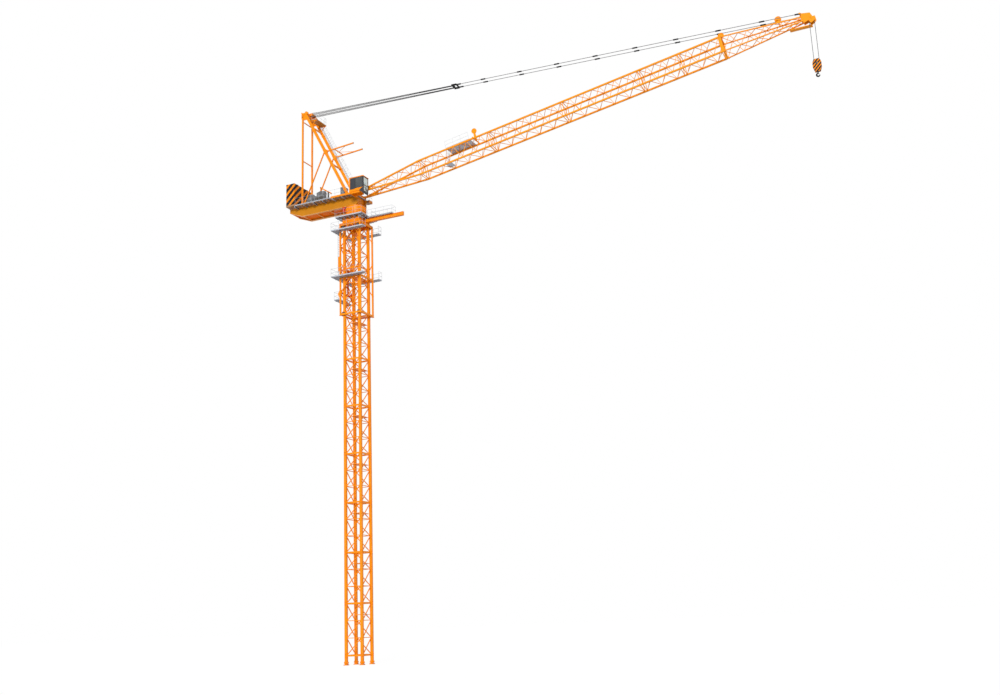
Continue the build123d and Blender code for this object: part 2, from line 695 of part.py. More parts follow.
brace_outline = [(brace_foot, deck_top), (brace_foot + BRACE_BAR, deck_top),
                 brace_meets_leg(brace_foot + BRACE_BAR), brace_meets_leg(brace_foot)]
braces = []
for side in (-1, 1):
    y = side * half_gantry
    braces.append(side_plate(brace_outline, y - BRACE_BAR / 2, y + BRACE_BAR / 2))
save("gantry_braces", *braces)

head_top = gantry_top + HEAD_DEPTH
head_axle = (HEAD_SHEAVE_X, gantry_top + HEAD_SHEAVE_RISE)
lug_rear = HEAD_FRONT - HEAD_DEPTH
lug_front = HEAD_SHEAVE_X + LUG_RADIUS
lug_outline = [(lug_rear, gantry_top), (HEAD_FRONT, gantry_top), (lug_front, head_axle[1] - LUG_RADIUS),
               (lug_front, head_axle[1] + LUG_RADIUS), (lug_rear, head_axle[1] + LUG_RADIUS)]
gusset_low = gantry_top - HEAD_GUSSET
tie_front = TIE_X + TIE_DEPTH / 2
gusset_outline = [(tie_front, gusset_low), (leg_rear(gusset_low), gusset_low),
                  (leg_rear(gantry_top), gantry_top), (tie_front, gantry_top)]
head_parts = []
for side in (-1, 1):
    y = side * HEAD_LUG_PITCH / 2
    head_parts.append(side_plate(lug_outline, y - HEAD_LUG / 2, y + HEAD_LUG / 2))
    y = side * half_gantry
    head_parts.append(side_plate(gusset_outline, y - HEAD_LUG / 2, y + HEAD_LUG / 2))
head_beam = box(HEAD_REAR, HEAD_FRONT, -leg_y1, leg_y1, gantry_top, head_top)
axle_half = HEAD_LUG_PITCH / 2
head_rod = rod((head_axle[0], -axle_half, head_axle[1]), (head_axle[0], axle_half, head_axle[1]),
               HEAD_AXLE_RADIUS)
save("gantry_head", fuse(head_beam, *head_parts, head_rod))


def sheave(x, y, z, radius, width, bore):
    """A sheave wheel across Y with a bore for its axle."""
    wheel = rod((x, y - width / 2, z), (x, y + width / 2, z), radius)
    return cut(wheel, rod((x, y - width, z), (x, y + width, z), bore))


head_sheaves = []
for y in (-ROPE_SPREAD, 0, ROPE_SPREAD):
    head_sheaves.append(sheave(head_axle[0], y, head_axle[1], HEAD_SHEAVE_RADIUS, HEAD_SHEAVE_WIDTH,
                               HEAD_AXLE_RADIUS + RUNNING_CLEARANCE))
save("gantry_sheaves", *head_sheaves)

stop_z = deck_top + STOP_RISE
stop_slope = STOP_TILT / (STOP_REACH - leg_front(stop_z))


def stop_start(offset):
    """Where a stop bar's edge meets the front face of the leg."""
    x = leg_front(stop_z + offset)
    return (x, stop_z + offset)


def stop_line(x, offset):
    """Height of a stop bar's edge at x."""
    start = stop_start(offset)
    return start[1] + stop_slope * (x - start[0])


stop_outline = [stop_start(-STOP_BAR / 2), (STOP_REACH, stop_line(STOP_REACH, -STOP_BAR / 2)),
                (STOP_REACH, stop_line(STOP_REACH, STOP_BAR / 2)), stop_start(STOP_BAR / 2)]
stop_parts = []
for side in (-1, 1):
    y = side * half_gantry
    stop_parts.append(side_plate(stop_outline, y - STOP_BAR / 2, y + STOP_BAR / 2))
bar_x = leg_front(stop_z) + STOP_CROSS_BAR_REACH
bar_z = stop_line(bar_x, 0)
stop_parts.append(box(bar_x - STOP_CROSS_BAR / 2, bar_x + STOP_CROSS_BAR / 2, -half_gantry, half_gantry,
                      bar_z - STOP_CROSS_BAR / 2, bar_z + STOP_CROSS_BAR / 2))
save("jib_stops", fuse(*stop_parts))

walk_top = gantry_top - HEAD_PLATFORM_DROP
walk_low = walk_top - PLATFORM_THICKNESS
walk_outline = [(leg_front(walk_low), walk_low), (leg_front(walk_low) + HEAD_PLATFORM_REACH, walk_low),
                (leg_front(walk_low) + HEAD_PLATFORM_REACH, walk_top), (leg_front(walk_top), walk_top)]
save("gantry_platform", side_plate(walk_outline, -leg_y1, leg_y1))

# Winch, motor and cabinet on the deck
drum_z = deck_top + DRUM_HEIGHT
drum_half = DRUM_LENGTH / 2
drum_parts = [rod((DRUM_X, -drum_half, drum_z), (DRUM_X, drum_half, drum_z), DRUM_RADIUS)]
for side in (-1, 1):
    y = side * drum_half
    drum_parts.append(rod((DRUM_X, y, drum_z), (DRUM_X, y - side * DRUM_FLANGE, drum_z), DRUM_FLANGE_RADIUS))
save("winch_drum", fuse(*drum_parts))
stands = []
for side in (-1, 1):
    stands.append(box(DRUM_X - DRUM_STAND_WIDTH / 2, DRUM_X + DRUM_STAND_WIDTH / 2, side * drum_half,
                      side * (drum_half + DRUM_STAND), deck_top, drum_z + DRUM_RADIUS / 2))
save("winch_stands", *stands)
motor_z = deck_top + MOTOR_BASE + MOTOR_RADIUS
motor_half = MOTOR_LENGTH / 2
save("winch_motor", fuse(
    box(MOTOR_X - motor_half, MOTOR_X + motor_half, MOTOR_Y - MOTOR_RADIUS, MOTOR_Y + MOTOR_RADIUS,
        deck_top, motor_z),
    rod((MOTOR_X - motor_half, MOTOR_Y, motor_z), (MOTOR_X + motor_half, MOTOR_Y, motor_z), MOTOR_RADIUS)))
save("control_cabinet", box(CABINET_X - CABINET_DEPTH / 2, CABINET_X + CABINET_DEPTH / 2,
                            -CABINET_WIDTH / 2, CABINET_WIDTH / 2, deck_top, deck_top + CABINET_HEIGHT))

# Operator's cab
cab_inner_y = -(half_deck + CAB_SIDE_GAP)
cab_outer_y = cab_inner_y - CAB_WIDTH
cab_low = deck_top - CAB_DROP
cab_high = cab_low + CAB_HEIGHT
cab_front = CAB_REAR + CAB_LENGTH
chin_low = cab_low - CAB_CHIN_DROP


def cab_profile(margin):
    """The cab's side outline, moved inwards by a wall."""
    corners = [(CAB_REAR, cab_low), (cab_front - CAB_CHIN_REACH, cab_low), (cab_front - CAB_CHIN_NOSE, chin_low),
               (cab_front, chin_low + CAB_CHIN_NOSE_RISE), (cab_front, cab_high), (CAB_REAR, cab_high)]
    return inset(corners, [margin] * len(corners))


shell = side_plate(cab_profile(0), cab_outer_y, cab_inner_y)
room = side_plate(cab_profile(CAB_WALL), cab_outer_y + CAB_WALL, cab_inner_y - CAB_WALL)
window_low = cab_low + CAB_SILL
front_low = chin_low + CAB_CHIN_NOSE_RISE + CAB_FRONT_SILL
window_high = cab_high - CAB_HEADER
side_window = (cab_front - CAB_PILLAR - CAB_SIDE_WINDOW, cab_front - CAB_PILLAR)
front_window = (cab_outer_y + CAB_PILLAR, cab_inner_y - CAB_PILLAR)
side_cut = box(side_window[0], side_window[1], cab_outer_y - CAB_WALL, cab_inner_y + CAB_WALL,
               window_low, window_high)
front_cut = box(cab_front - 2 * CAB_WALL, cab_front + CAB_WALL, front_window[0], front_window[1],
                front_low, window_high)
save("cab_shell", cut(shell, room, side_cut, front_cut))
gap = GLASS_CLEARANCE
panes = []
for y in (cab_outer_y + (CAB_WALL - GLASS) / 2, cab_inner_y - (CAB_WALL + GLASS) / 2):
    panes.append(box(side_window[0] + gap, side_window[1] - gap, y, y + GLASS,
                     window_low + gap, window_high - gap))
x = cab_front - (CAB_WALL + GLASS) / 2
panes.append(box(x, x + GLASS, front_window[0] + gap, front_window[1] - gap,
                 front_low + gap, window_high - gap))
save("cab_windows", *panes)
beam_low = cab_low - CAB_BEAM_DEPTH
cab_beams = [box(GIRDER_FRONT - CAB_BEAM, GIRDER_FRONT, -girder_outer, cab_outer_y, beam_low, cab_low)]
for y in (cab_outer_y + CAB_BEAM_INSET, cab_inner_y - CAB_BEAM_INSET - CAB_BEAM):
    cab_beams.append(box(GIRDER_FRONT - CAB_BEAM, cab_front - CAB_CHIN_REACH, y, y + CAB_BEAM, beam_low, cab_low))
save("cab_beams", fuse(*cab_beams))

# Jib pivot on the deck: two forks with a fixed pin in each
pivot_z = deck_top + PIVOT_RISE
half_jib = JIB_PITCH / 2
fork_offset = JIB_CHORD / 2 + LUG_GAP + LUG_PLATE / 2
forks = []
for side in (-1, 1):
    plates = []
    for offset in (-fork_offset, fork_offset):
        y = side * half_jib + offset
        plates.append(box(PIVOT_X - LUG_WIDTH / 2, PIVOT_X + LUG_WIDTH / 2,
                          y - LUG_PLATE / 2, y + LUG_PLATE / 2, deck_top, pivot_z + LUG_RADIUS))
    y0 = side * half_jib - fork_offset - LUG_PLATE
    y1 = side * half_jib + fork_offset + LUG_PLATE
    forks.append(fuse(rod((PIVOT_X, y0, pivot_z), (PIVOT_X, y1, pivot_z), PIN_RADIUS), *plates))
save("jib_foot_forks", *forks)

# Jib, laid out along its own axis from the pivot and then raised to its angle
place_jib = Pos(PIVOT_X, 0, pivot_z) * Rot(0, -JIB_ANGLE, 0)
half_depth = JIB_DEPTH / 2
jib_main_end = JIB_FOOT + 3 * JIB_LONG + 2 * JIB_SHORT
jib_head_s = jib_main_end + JIB_TIP
jib_joints = [JIB_FOOT]
for length in (JIB_LONG, JIB_LONG, JIB_LONG, JIB_SHORT, JIB_SHORT):
    jib_joints.append(jib_joints[-1] + length)


def foot_top(s):
    """Height of the upper chord's line along the foot section."""
    return half_depth * s / JIB_FOOT


def foot_bottom(s):
    """Height of the lower chord's line along the foot section."""
    return -foot_top(s)


def tip_share(s):
    """How far along the tip section a place is."""
    return (s - jib_main_end) / JIB_TIP


def tip_top(s):
    """Height of the upper chord's line along the tip section."""
    return half_depth + (JIB_TIP_TOP - half_depth) * tip_share(s)


def tip_bottom(s):
    """Height of the lower chord's line along the tip section."""
    return -half_depth + (JIB_TIP_BOTTOM + half_depth) * tip_share(s)


def tip_half(s):
    """Half the tip section's width between chord centres."""
    return half_jib + (JIB_TIP_PITCH / 2 - half_jib) * tip_share(s)


def bays(length):
    """How many zigzag bars fit a stretch."""
    return max(2, round(length / JIB_BAY))


def main_openings(low, high, edge, twin_joints):
    """Openings of one face of the straight sections, with twin frames at some joints."""
    frame = JIB_FRAME_BAR / 2
    cells = []
    for start, end in zip(jib_joints, jib_joints[1:]):
        a, b = start + JIB_FRAME_HALF_GAP, end - JIB_FRAME_HALF_GAP
        cells += zigzag(a, b, lambda s: low, lambda s: high, bays(b - a), edge, edge, frame, JIB_BRACE / 2)
    for joint in twin_joints:
        a, b = joint - JIB_FRAME_HALF_GAP, joint + JIB_FRAME_HALF_GAP
        cells.append(inset([(a, low), (b, low), (b, high), (a, high)], [edge, frame, edge, frame]))
    return cells


def foot_openings(low, high, edge):
    """Openings of one face of the foot section, from its solid foot plate to the first joint."""
    a, b = JIB_FOOT_PLATE, JIB_FOOT - JIB_FRAME_HALF_GAP
    frame = JIB_FRAME_BAR / 2
    return zigzag(a, b, low, high, bays(b - a), edge, edge, frame, JIB_BRACE / 2)


def chord_bar(start, end, y, size):
    """A square chord between two points of the jib's side, with ends cut across the jib."""
    half = size / 2
    outline = [(start[0], start[1] - half), (end[0], end[1] - half),
               (end[0], end[1] + half), (start[0], start[1] + half)]
    return side_plate(outline, y - half, y + half)


def jib_side(y):
    """One flat side of the jib: foot section and straight sections."""
    half = JIB_BRACE_THICKNESS / 2
    outline = [(0, 0), (JIB_FOOT, -half_depth), (jib_main_end, -half_depth),
               (jib_main_end, half_depth), (JIB_FOOT, half_depth)]
    holes = foot_openings(foot_bottom, foot_top, JIB_CHORD / 2)
    holes += main_openings(-half_depth, half_depth, JIB_CHORD / 2, jib_joints[:-1])
    web = side_plate(outline, y - half, y + half, holes)
    chords = []
    for rise in (-half_depth, half_depth):
        chords.append(chord_bar((0, 0), (JIB_FOOT, rise), y, JIB_CHORD))
        chords.append(chord_bar((JIB_FOOT, rise), (jib_main_end, rise), y, JIB_CHORD))
    boss = rod((0, y - JIB_CHORD / 2, 0), (0, y + JIB_CHORD / 2, 0), LUG_RADIUS)
    body = fuse(web, *chords, boss)
    bore = rod((0, y - JIB_CHORD, 0), (0, y + JIB_CHORD, 0), PIN_RADIUS + RUNNING_CLEARANCE)
    return place_jib * cut(body, bore)


save("jib_left_side", jib_side(half_jib))
save("jib_right_side", jib_side(-half_jib))


def jib_panel(outline, holes, height):
    """A bracing panel across the jib: an outline along the jib and across it, at a height that may slope."""
    half = JIB_BRACE_THICKNESS / 2

    def wire(points):
        return Wire.make_polygon([(s, y, height(s) - half) for s, y in points])
    face = Face(wire(outline), [wire(hole) for hole in holes])
    return place_jib * Solid.extrude(face, Vector(0, 0, 2 * half))


panel_half = half_jib - JIB_CHORD / 2
frame_reach = JIB_FRAME_HALF_GAP - JIB_FRAME_BAR / 2
panels = []


def panel_outline(start, end):
    """A bracing panel's outline between the chords."""
    return [(start, -panel_half), (end, -panel_half), (end, panel_half), (start, panel_half)]


for sign in (-1, 1):
    foot_height = foot_top if sign > 0 else foot_bottom
    first_node = -sign * panel_half
    outline = panel_outline(JIB_FOOT_PLATE - JIB_FRAME_BAR / 2, JIB_FOOT - frame_reach)
    holes = foot_openings(lambda s: first_node, lambda s: -first_node, EDGE_STRIP)
    panels.append(jib_panel(outline, holes, foot_height))
    outline = panel_outline(JIB_FOOT + frame_reach, jib_main_end - frame_reach)
    holes = main_openings(first_node, -first_node, EDGE_STRIP, jib_joints[1:-1])
    panels.append(jib_panel(outline, holes, lambda s: sign * half_depth))
save("jib_cross_bracing", *panels)

# Tip section, tapering in depth and width
tip_yaw = math.atan2(JIB_TIP_PITCH / 2 - half_jib, JIB_TIP)
tip_stretch = 1 / math.cos(tip_yaw)
tip_start = jib_main_end + JIB_CHORD / 2
tip_frame_end = jib_head_s - JIB_FRAME_HALF_GAP


def tip_openings(low, high, edge):
    """Openings of one face of the tip section."""
    frame = JIB_FRAME_BAR / 2
    a = tip_start + JIB_FRAME_BAR / 2
    return zigzag(a, tip_frame_end, low, high, bays(tip_frame_end - a), edge, edge, frame, JIB_BRACE / 2)


def tip_side(side):
    """One flat side of the tip section, turned inwards towards the head."""
    half = JIB_TIP_CHORD / 2
    web_half = JIB_BRACE_THICKNESS / 2

    def stretched(points):
        return [((s - jib_main_end) * tip_stretch, n) for s, n in points]
    outline = [(jib_main_end, tip_bottom(jib_main_end)), (jib_head_s, tip_bottom(jib_head_s)),
               (jib_head_s, tip_top(jib_head_s)), (jib_main_end, tip_top(jib_main_end))]
    holes = [stretched(hole) for hole in tip_openings(tip_bottom, tip_top, half)]
    web = side_plate(stretched(outline), -web_half, web_half, holes)
    chords = []
    for line in (tip_bottom, tip_top):
        a, b = stretched([(jib_main_end, line(jib_main_end)), (jib_head_s, line(jib_head_s))])
        chords.append(chord_bar(a, b, 0, JIB_TIP_CHORD))
    turned = Rot(0, 0, side * math.degrees(tip_yaw)) * fuse(web, *chords)
    whole = Pos(jib_main_end, side * half_jib, 0) * turned
    root_cut = box(jib_main_end - JIB_CHORD, jib_main_end, -JIB_PITCH, JIB_PITCH, -JIB_DEPTH, JIB_DEPTH)
    head_cut = box(jib_head_s, jib_head_s + JIB_CHORD, -JIB_PITCH, JIB_PITCH, -JIB_DEPTH, JIB_DEPTH)
    return cut(whole, root_cut, head_cut)


save("jib_tip_left_side", place_jib * tip_side(1))
save("jib_tip_right_side", place_jib * tip_side(-1))
tip_inset = JIB_TIP_CHORD / 2 / math.cos(tip_yaw)


def tip_panel_half(s):
    """Half the width of a panel between the tip's sides."""
    return tip_half(s) - tip_inset


tip_panels = []
for line in (tip_bottom, tip_top):
    a, b = jib_main_end + PLATFORM_GAP, jib_head_s - PLATFORM_GAP
    outline = [(a, -tip_panel_half(a)), (b, -tip_panel_half(b)),
               (b, tip_panel_half(b)), (a, tip_panel_half(a))]
    holes = tip_openings(lambda s: -tip_panel_half(s), tip_panel_half, EDGE_STRIP)
    tip_panels.append(jib_panel(outline, holes, line))
save("jib_tip_bracing", *tip_panels)

# Jib head: two plates beyond the tip section with the tip sheave and the pendant pin
head_y = JIB_TIP_PITCH / 2
tip_sheave_s = jib_head_s + TIP_SHEAVE_REACH
tip_sheave_n = JIB_TIP_BOTTOM + TIP_SHEAVE_RISE
pendant_s = jib_head_s - PENDANT_SETBACK
pendant_n = JIB_TIP_TOP + PENDANT_RISE
half_pendants = head_y + HEAD_PLATE / 2 + LUG_GAP + LINK_WIDTH / 2
angle = math.radians(JIB_ANGLE)


def seat_line(s):
    """Height of the tip platform's top, which is level at the jib's rest angle."""
    return -HEAD_SEAT_DROP - (s - jib_head_s - HEAD_SEAT[0]) * math.tan(angle)


head_outline = [(jib_head_s + ds, n) for ds, n in HEAD_LOW_CORNERS]
head_outline += [(jib_head_s + ds, seat_line(jib_head_s + ds)) for ds in HEAD_SEAT]
head_outline += [(jib_head_s + ds, n) for ds, n in HEAD_NOSE_CORNERS]
head_outline += [
    (pendant_s + PENDANT_EYE, pendant_n + PENDANT_EYE), (pendant_s - PENDANT_EYE, pendant_n + PENDANT_EYE),
    (pendant_s - PENDANT_EYE, pendant_n), (jib_head_s, JIB_TIP_TOP + JIB_TIP_CHORD)]
head_pieces = []
for side in (-1, 1):
    y = side * head_y
    head_pieces.append(side_plate(head_outline, y - HEAD_PLATE / 2, y + HEAD_PLATE / 2))
pin_half = half_pendants + LINK_WIDTH
head_pieces.append(rod((pendant_s, -pin_half, pendant_n), (pendant_s, pin_half, pendant_n), PENDANT_PIN))
head_pieces.append(rod((tip_sheave_s, -head_y, tip_sheave_n), (tip_sheave_s, head_y, tip_sheave_n),
                       HEAD_AXLE_RADIUS))
save("jib_head", place_jib * fuse(*head_pieces))
save("tip_sheave", place_jib * sheave(tip_sheave_s, 0, tip_sheave_n, TIP_SHEAVE_RADIUS, TIP_SHEAVE_WIDTH,
                                      HEAD_AXLE_RADIUS + RUNNING_CLEARANCE))

# Guide sheaves on the upper chords and the jib's platforms
chord_top = half_depth + JIB_CHORD / 2


def bracket_seat(s):
    """Height that a bracket stands on: the upper chords' top, or just over the sloping chords of the tip."""
    if s > jib_main_end:
        return tip_top(s) + JIB_TIP_CHORD / 2 + 2 * SEAT_GAP
    return chord_top


def bracket_half_width(s):
    """Half the length of a bracket's beam, out to the chords' outer faces."""
    if s > jib_main_end:
        return tip_half(s) + JIB_TIP_CHORD / 2
    return half_jib + JIB_CHORD / 2


guide_brackets = []
guide_sheaves = []
first_s = JIB_FOOT + FIRST_GUIDE
second_s = jib_main_end + SECOND_GUIDE_REACH
third_s = jib_head_s - THIRD_GUIDE_SETBACK
guide_rows = (
    (first_s, half_depth + FIRST_GUIDE_RISE, FIRST_GUIDE_RADIUS, FIRST_GUIDE_RADIUS / 2,
     FIRST_GUIDE_RADIUS / 4),
    (second_s, half_depth + SECOND_GUIDE_RISE, SECOND_GUIDE_RADIUS, GUIDE_BEAM / 2, SECOND_GUIDE_RADIUS / 2),
    (third_s, tip_top(third_s) + THIRD_GUIDE_RISE, THIRD_GUIDE_RADIUS, GUIDE_BEAM / 2,
     THIRD_GUIDE_RADIUS / 2))
for s, n, radius, cheek_foot, cheek_head in guide_rows:
    a, b = s - GUIDE_BEAM / 2, s + GUIDE_BEAM / 2
    width = bracket_half_width(s)
    seat_a, seat_b = bracket_seat(a), bracket_seat(b)
    beam_outline = [(a, seat_a), (b, seat_b), (b, seat_b + GUIDE_BEAM), (a, seat_a + GUIDE_BEAM)]
    beam = side_plate(beam_outline, -width, width)
    cheek_n = seat_b + GUIDE_BEAM / 2
    cheeks = []
    for side in (-1, 1):
        y0 = side * GUIDE_WIDTH / 2
        outline = [(s - cheek_foot, cheek_n), (s + cheek_foot, cheek_n), (s + cheek_head, n),
                   (s - cheek_head, n)]
        cheeks.append(side_plate(outline, y0, y0 + side * GUIDE_PLATE))
    guide_brackets.append(place_jib * fuse(beam, *cheeks))
    guide_sheaves.append(place_jib * rod((s, -GUIDE_WIDTH / 2, n), (s, GUIDE_WIDTH / 2, n), radius))
save("guide_brackets", *guide_brackets)
save("guide_sheaves", *guide_sheaves)
platform_start = JIB_FOOT + JIB_PLATFORM_START
save("jib_platform", place_jib * box(platform_start, platform_start + JIB_PLATFORM_LENGTH, -half_jib, half_jib,
                                     chord_top, chord_top + JIB_PLATFORM_THICKNESS))


def tip_underside(s):
    """Height just under the lower face of the tip's lower chords."""
    return tip_bottom(s) - JIB_TIP_CHORD / 2 - 2 * SEAT_GAP


platform_a, platform_b = jib_head_s - TIP_PLATFORM_REAR, jib_head_s + TIP_PLATFORM_FRONT
hanger_end = platform_a + JIB_TIP_CHORD
outline = [(platform_a, seat_line(platform_a)), (platform_b, seat_line(platform_b)),
           (platform_b, seat_line(platform_b) - TIP_PLATFORM_THICKNESS),
           (platform_a, seat_line(platform_a) - TIP_PLATFORM_THICKNESS)]
board = side_plate(outline, TIP_PLATFORM_INNER, TIP_PLATFORM_INNER + TIP_PLATFORM_WIDTH)
outline = [(platform_a, seat_line(platform_a)), (hanger_end, seat_line(hanger_end)),
           (hanger_end, tip_underside(hanger_end)), (platform_a, tip_underside(platform_a))]
hanger = side_plate(outline, tip_half(platform_a) - JIB_TIP_CHORD / 2, tip_half(platform_a))
save("tip_platform", place_jib * fuse(board, hanger))

# Pendants from the head's pin towards the gantry's sheaves, with the floating block at their far end
pin_x = PIVOT_X + pendant_s * math.cos(angle) - pendant_n * math.sin(angle)
pin_z = pivot_z + pendant_s * math.sin(angle) + pendant_n * math.cos(angle)
pull = math.atan2(head_axle[1] - pin_z, pin_x - head_axle[0])
place_pendant = Pos(pin_x, 0, pin_z) * Rot(0, 180 + math.degrees(pull), 0)
span = math.hypot(head_axle[1] - pin_z, pin_x - head_axle[0])
pendants = []
for side in (-1, 1):
    y = side * half_pendants
    eye = rod((0, y - LINK_WIDTH / 2, 0), (0, y + LINK_WIDTH / 2, 0), PENDANT_EYE)
    bar = rod((0, y, 0), (PENDANT_LENGTH, y, 0), PENDANT_RADIUS)
    links = []
    for i in range(PENDANT_LINKS):
        at = FIRST_LINK + i * LINK_PITCH
        links.append(box(at - LINK_LENGTH / 2, at + LINK_LENGTH / 2, y - LINK_WIDTH / 2, y + LINK_WIDTH / 2,
                         -LINK_WIDTH / 2, LINK_WIDTH / 2))
    whole = fuse(eye, bar, *links)
    pendants.append(place_pendant * cut(whole, rod((0, y - LINK_WIDTH, 0), (0, y + LINK_WIDTH, 0),
                                                   PENDANT_PIN + RUNNING_CLEARANCE)))
save("pendants", *pendants)
block_end = PENDANT_LENGTH + BLOCK_LENGTH
block_axle = PENDANT_LENGTH + BLOCK_LENGTH - BLOCK_SHEAVE_RADIUS
block_half = half_pendants + LINK_WIDTH
block_parts = [box(PENDANT_LENGTH, PENDANT_LENGTH + BLOCK_PLATE, -block_half, block_half,
                   -BLOCK_DEPTH / 2, BLOCK_DEPTH / 2)]
for y in (-block_half, block_half - BLOCK_PLATE):
    block_parts.append(box(PENDANT_LENGTH, block_end, y, y + BLOCK_PLATE, -BLOCK_DEPTH / 2, BLOCK_DEPTH / 2))
block_parts.append(rod((block_axle, -block_half, 0), (block_axle, block_half, 0), HEAD_AXLE_RADIUS))
for y in (-ROPE_SPREAD / 2, 0, ROPE_SPREAD / 2):
    wheel_half = HEAD_SHEAVE_WIDTH / 2
    block_parts.append(rod((block_axle, y - wheel_half, 0), (block_axle, y + wheel_half, 0),
                           BLOCK_SHEAVE_RADIUS))
save("floating_block", place_pendant * fuse(*block_parts))

# Luffing ropes between the floating block and the gantry's sheaves
ropes = []
for share in (-1, 0, 1):
    for side in (-1, 1):
        start = (block_axle, share * ROPE_SPREAD / 2, side * (BLOCK_SHEAVE_RADIUS + ROPE_RADIUS + SEAT_GAP))
        end = (span, share * ROPE_SPREAD, side * (HEAD_SHEAVE_RADIUS + ROPE_RADIUS + SEAT_GAP))
        ropes.append(place_pendant * rod(start, end, ROPE_RADIUS))
save("luffing_ropes", *ropes)

# Hoist rope falls and the hook block under the tip sheave
tip_x = PIVOT_X + tip_sheave_s * math.cos(angle) - tip_sheave_n * math.sin(angle)
tip_z = pivot_z + tip_sheave_s * math.sin(angle) + tip_sheave_n * math.cos(angle)
fall_offset = TIP_SHEAVE_RADIUS + ROPE_RADIUS + SEAT_GAP
block_z = tip_z - FALL_LENGTH
falls = []
for side in (-1, 1):
    x = tip_x + side * fall_offset
    falls.append(rod((x, 0, block_z), (x, 0, tip_z), ROPE_RADIUS))
save("hoist_rope_falls", *falls)

half_block = HOOK_BLOCK_WIDTH / 2
end_half = HOOK_BLOCK_END_WIDTH / 2
block_low = block_z - HOOK_BLOCK_BOTTOM
right_edge = [(end_half, HOOK_BLOCK_TOP), (half_block, HOOK_BLOCK_SHOULDER), (half_block, -HOOK_BLOCK_WAIST),
              (end_half, -HOOK_BLOCK_BOTTOM)]
cheek_outline = [(tip_x + dx, block_z + dz) for dx, dz in right_edge]
cheek_outline += [(tip_x - dx, block_z + dz) for dx, dz in reversed(right_edge)]
hook_pieces = []
for side in (-1, 1):
    y = side * HOOK_BLOCK_GAP / 2
    hook_pieces.append(side_plate(cheek_outline, y, y + side * HOOK_CHEEK))
hook_pieces.append(rod((tip_x, -HOOK_BLOCK_GAP, block_z), (tip_x, HOOK_BLOCK_GAP, block_z), HEAD_AXLE_RADIUS))
hook_pieces.append(rod((tip_x, -TIP_SHEAVE_WIDTH / 2, block_z), (tip_x, TIP_SHEAVE_WIDTH / 2, block_z),
                       TIP_SHEAVE_RADIUS))
hook_pieces.append(box(tip_x - end_half, tip_x + end_half, -HOOK_BLOCK_GAP / 2, HOOK_BLOCK_GAP / 2,
                       block_low, block_low + 2 * HOOK_CHEEK))
hook_block = fuse(*hook_pieces)
bore = rod((tip_x, 0, block_low - HOOK_CHEEK), (tip_x, 0, block_low + HOOK_CHEEK),
           HOOK_SHANK_RADIUS + RUNNING_CLEARANCE)
save("hook_block", cut(hook_block, bore))

# Hook: a shank in the block's bore and a bent bill
shank_low = block_low - HOOK_SHANK_LENGTH
bill_z = shank_low - HOOK_RADIUS
shank = rod((tip_x, 0, shank_low - HOOK_THICKNESS / 2), (tip_x, 0, block_low + HOOK_CHEEK - SEAT_GAP),
            HOOK_SHANK_RADIUS)
outer, inner = HOOK_RADIUS + HOOK_THICKNESS / 2, HOOK_RADIUS - HOOK_THICKNESS / 2
turns = [math.radians(90 + turn) for turn in range(0, HOOK_SWEEP + 1, HOOK_FACET)]
bill = [(outer * math.cos(turn), outer * math.sin(turn)) for turn in turns]
bill += [(inner * math.cos(turn), inner * math.sin(turn)) for turn in reversed(turns)]
bill = [(tip_x + dx, bill_z + dz) for dx, dz in bill]
save("hook", fuse(shank, side_plate(bill, -HOOK_THICKNESS / 2, HOOK_THICKNESS / 2)))
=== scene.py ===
import json
import math

import bmesh
import bpy
from mathutils import Matrix, Vector


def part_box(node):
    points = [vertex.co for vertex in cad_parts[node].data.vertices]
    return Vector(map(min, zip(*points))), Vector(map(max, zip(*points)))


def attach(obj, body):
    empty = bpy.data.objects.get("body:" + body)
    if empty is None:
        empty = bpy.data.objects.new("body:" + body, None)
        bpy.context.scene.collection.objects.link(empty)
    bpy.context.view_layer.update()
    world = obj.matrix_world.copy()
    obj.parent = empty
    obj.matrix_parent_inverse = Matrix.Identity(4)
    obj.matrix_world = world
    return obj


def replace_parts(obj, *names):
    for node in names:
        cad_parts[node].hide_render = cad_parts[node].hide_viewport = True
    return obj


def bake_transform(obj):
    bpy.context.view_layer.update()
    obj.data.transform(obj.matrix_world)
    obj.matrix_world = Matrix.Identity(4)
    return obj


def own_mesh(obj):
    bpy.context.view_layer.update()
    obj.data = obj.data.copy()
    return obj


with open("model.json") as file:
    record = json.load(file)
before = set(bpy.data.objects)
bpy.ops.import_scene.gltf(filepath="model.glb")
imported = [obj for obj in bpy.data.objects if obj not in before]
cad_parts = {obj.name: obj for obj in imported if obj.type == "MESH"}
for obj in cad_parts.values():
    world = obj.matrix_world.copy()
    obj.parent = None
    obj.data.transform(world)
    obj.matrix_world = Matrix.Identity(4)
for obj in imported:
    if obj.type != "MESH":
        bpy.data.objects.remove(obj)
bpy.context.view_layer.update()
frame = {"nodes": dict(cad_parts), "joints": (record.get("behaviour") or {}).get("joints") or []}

# Mast feet: small flame-cut plates under the four legs, each on four anchor bolts with washers and nuts.
# The plates are painted with the mast; bolts and nuts are dark, lightly oiled steel.
CORNERS = ((-1, -1), (-1, 1), (1, -1), (1, 1))
UP = (0, 0, 1)
ACROSS = (0, 1, 0)


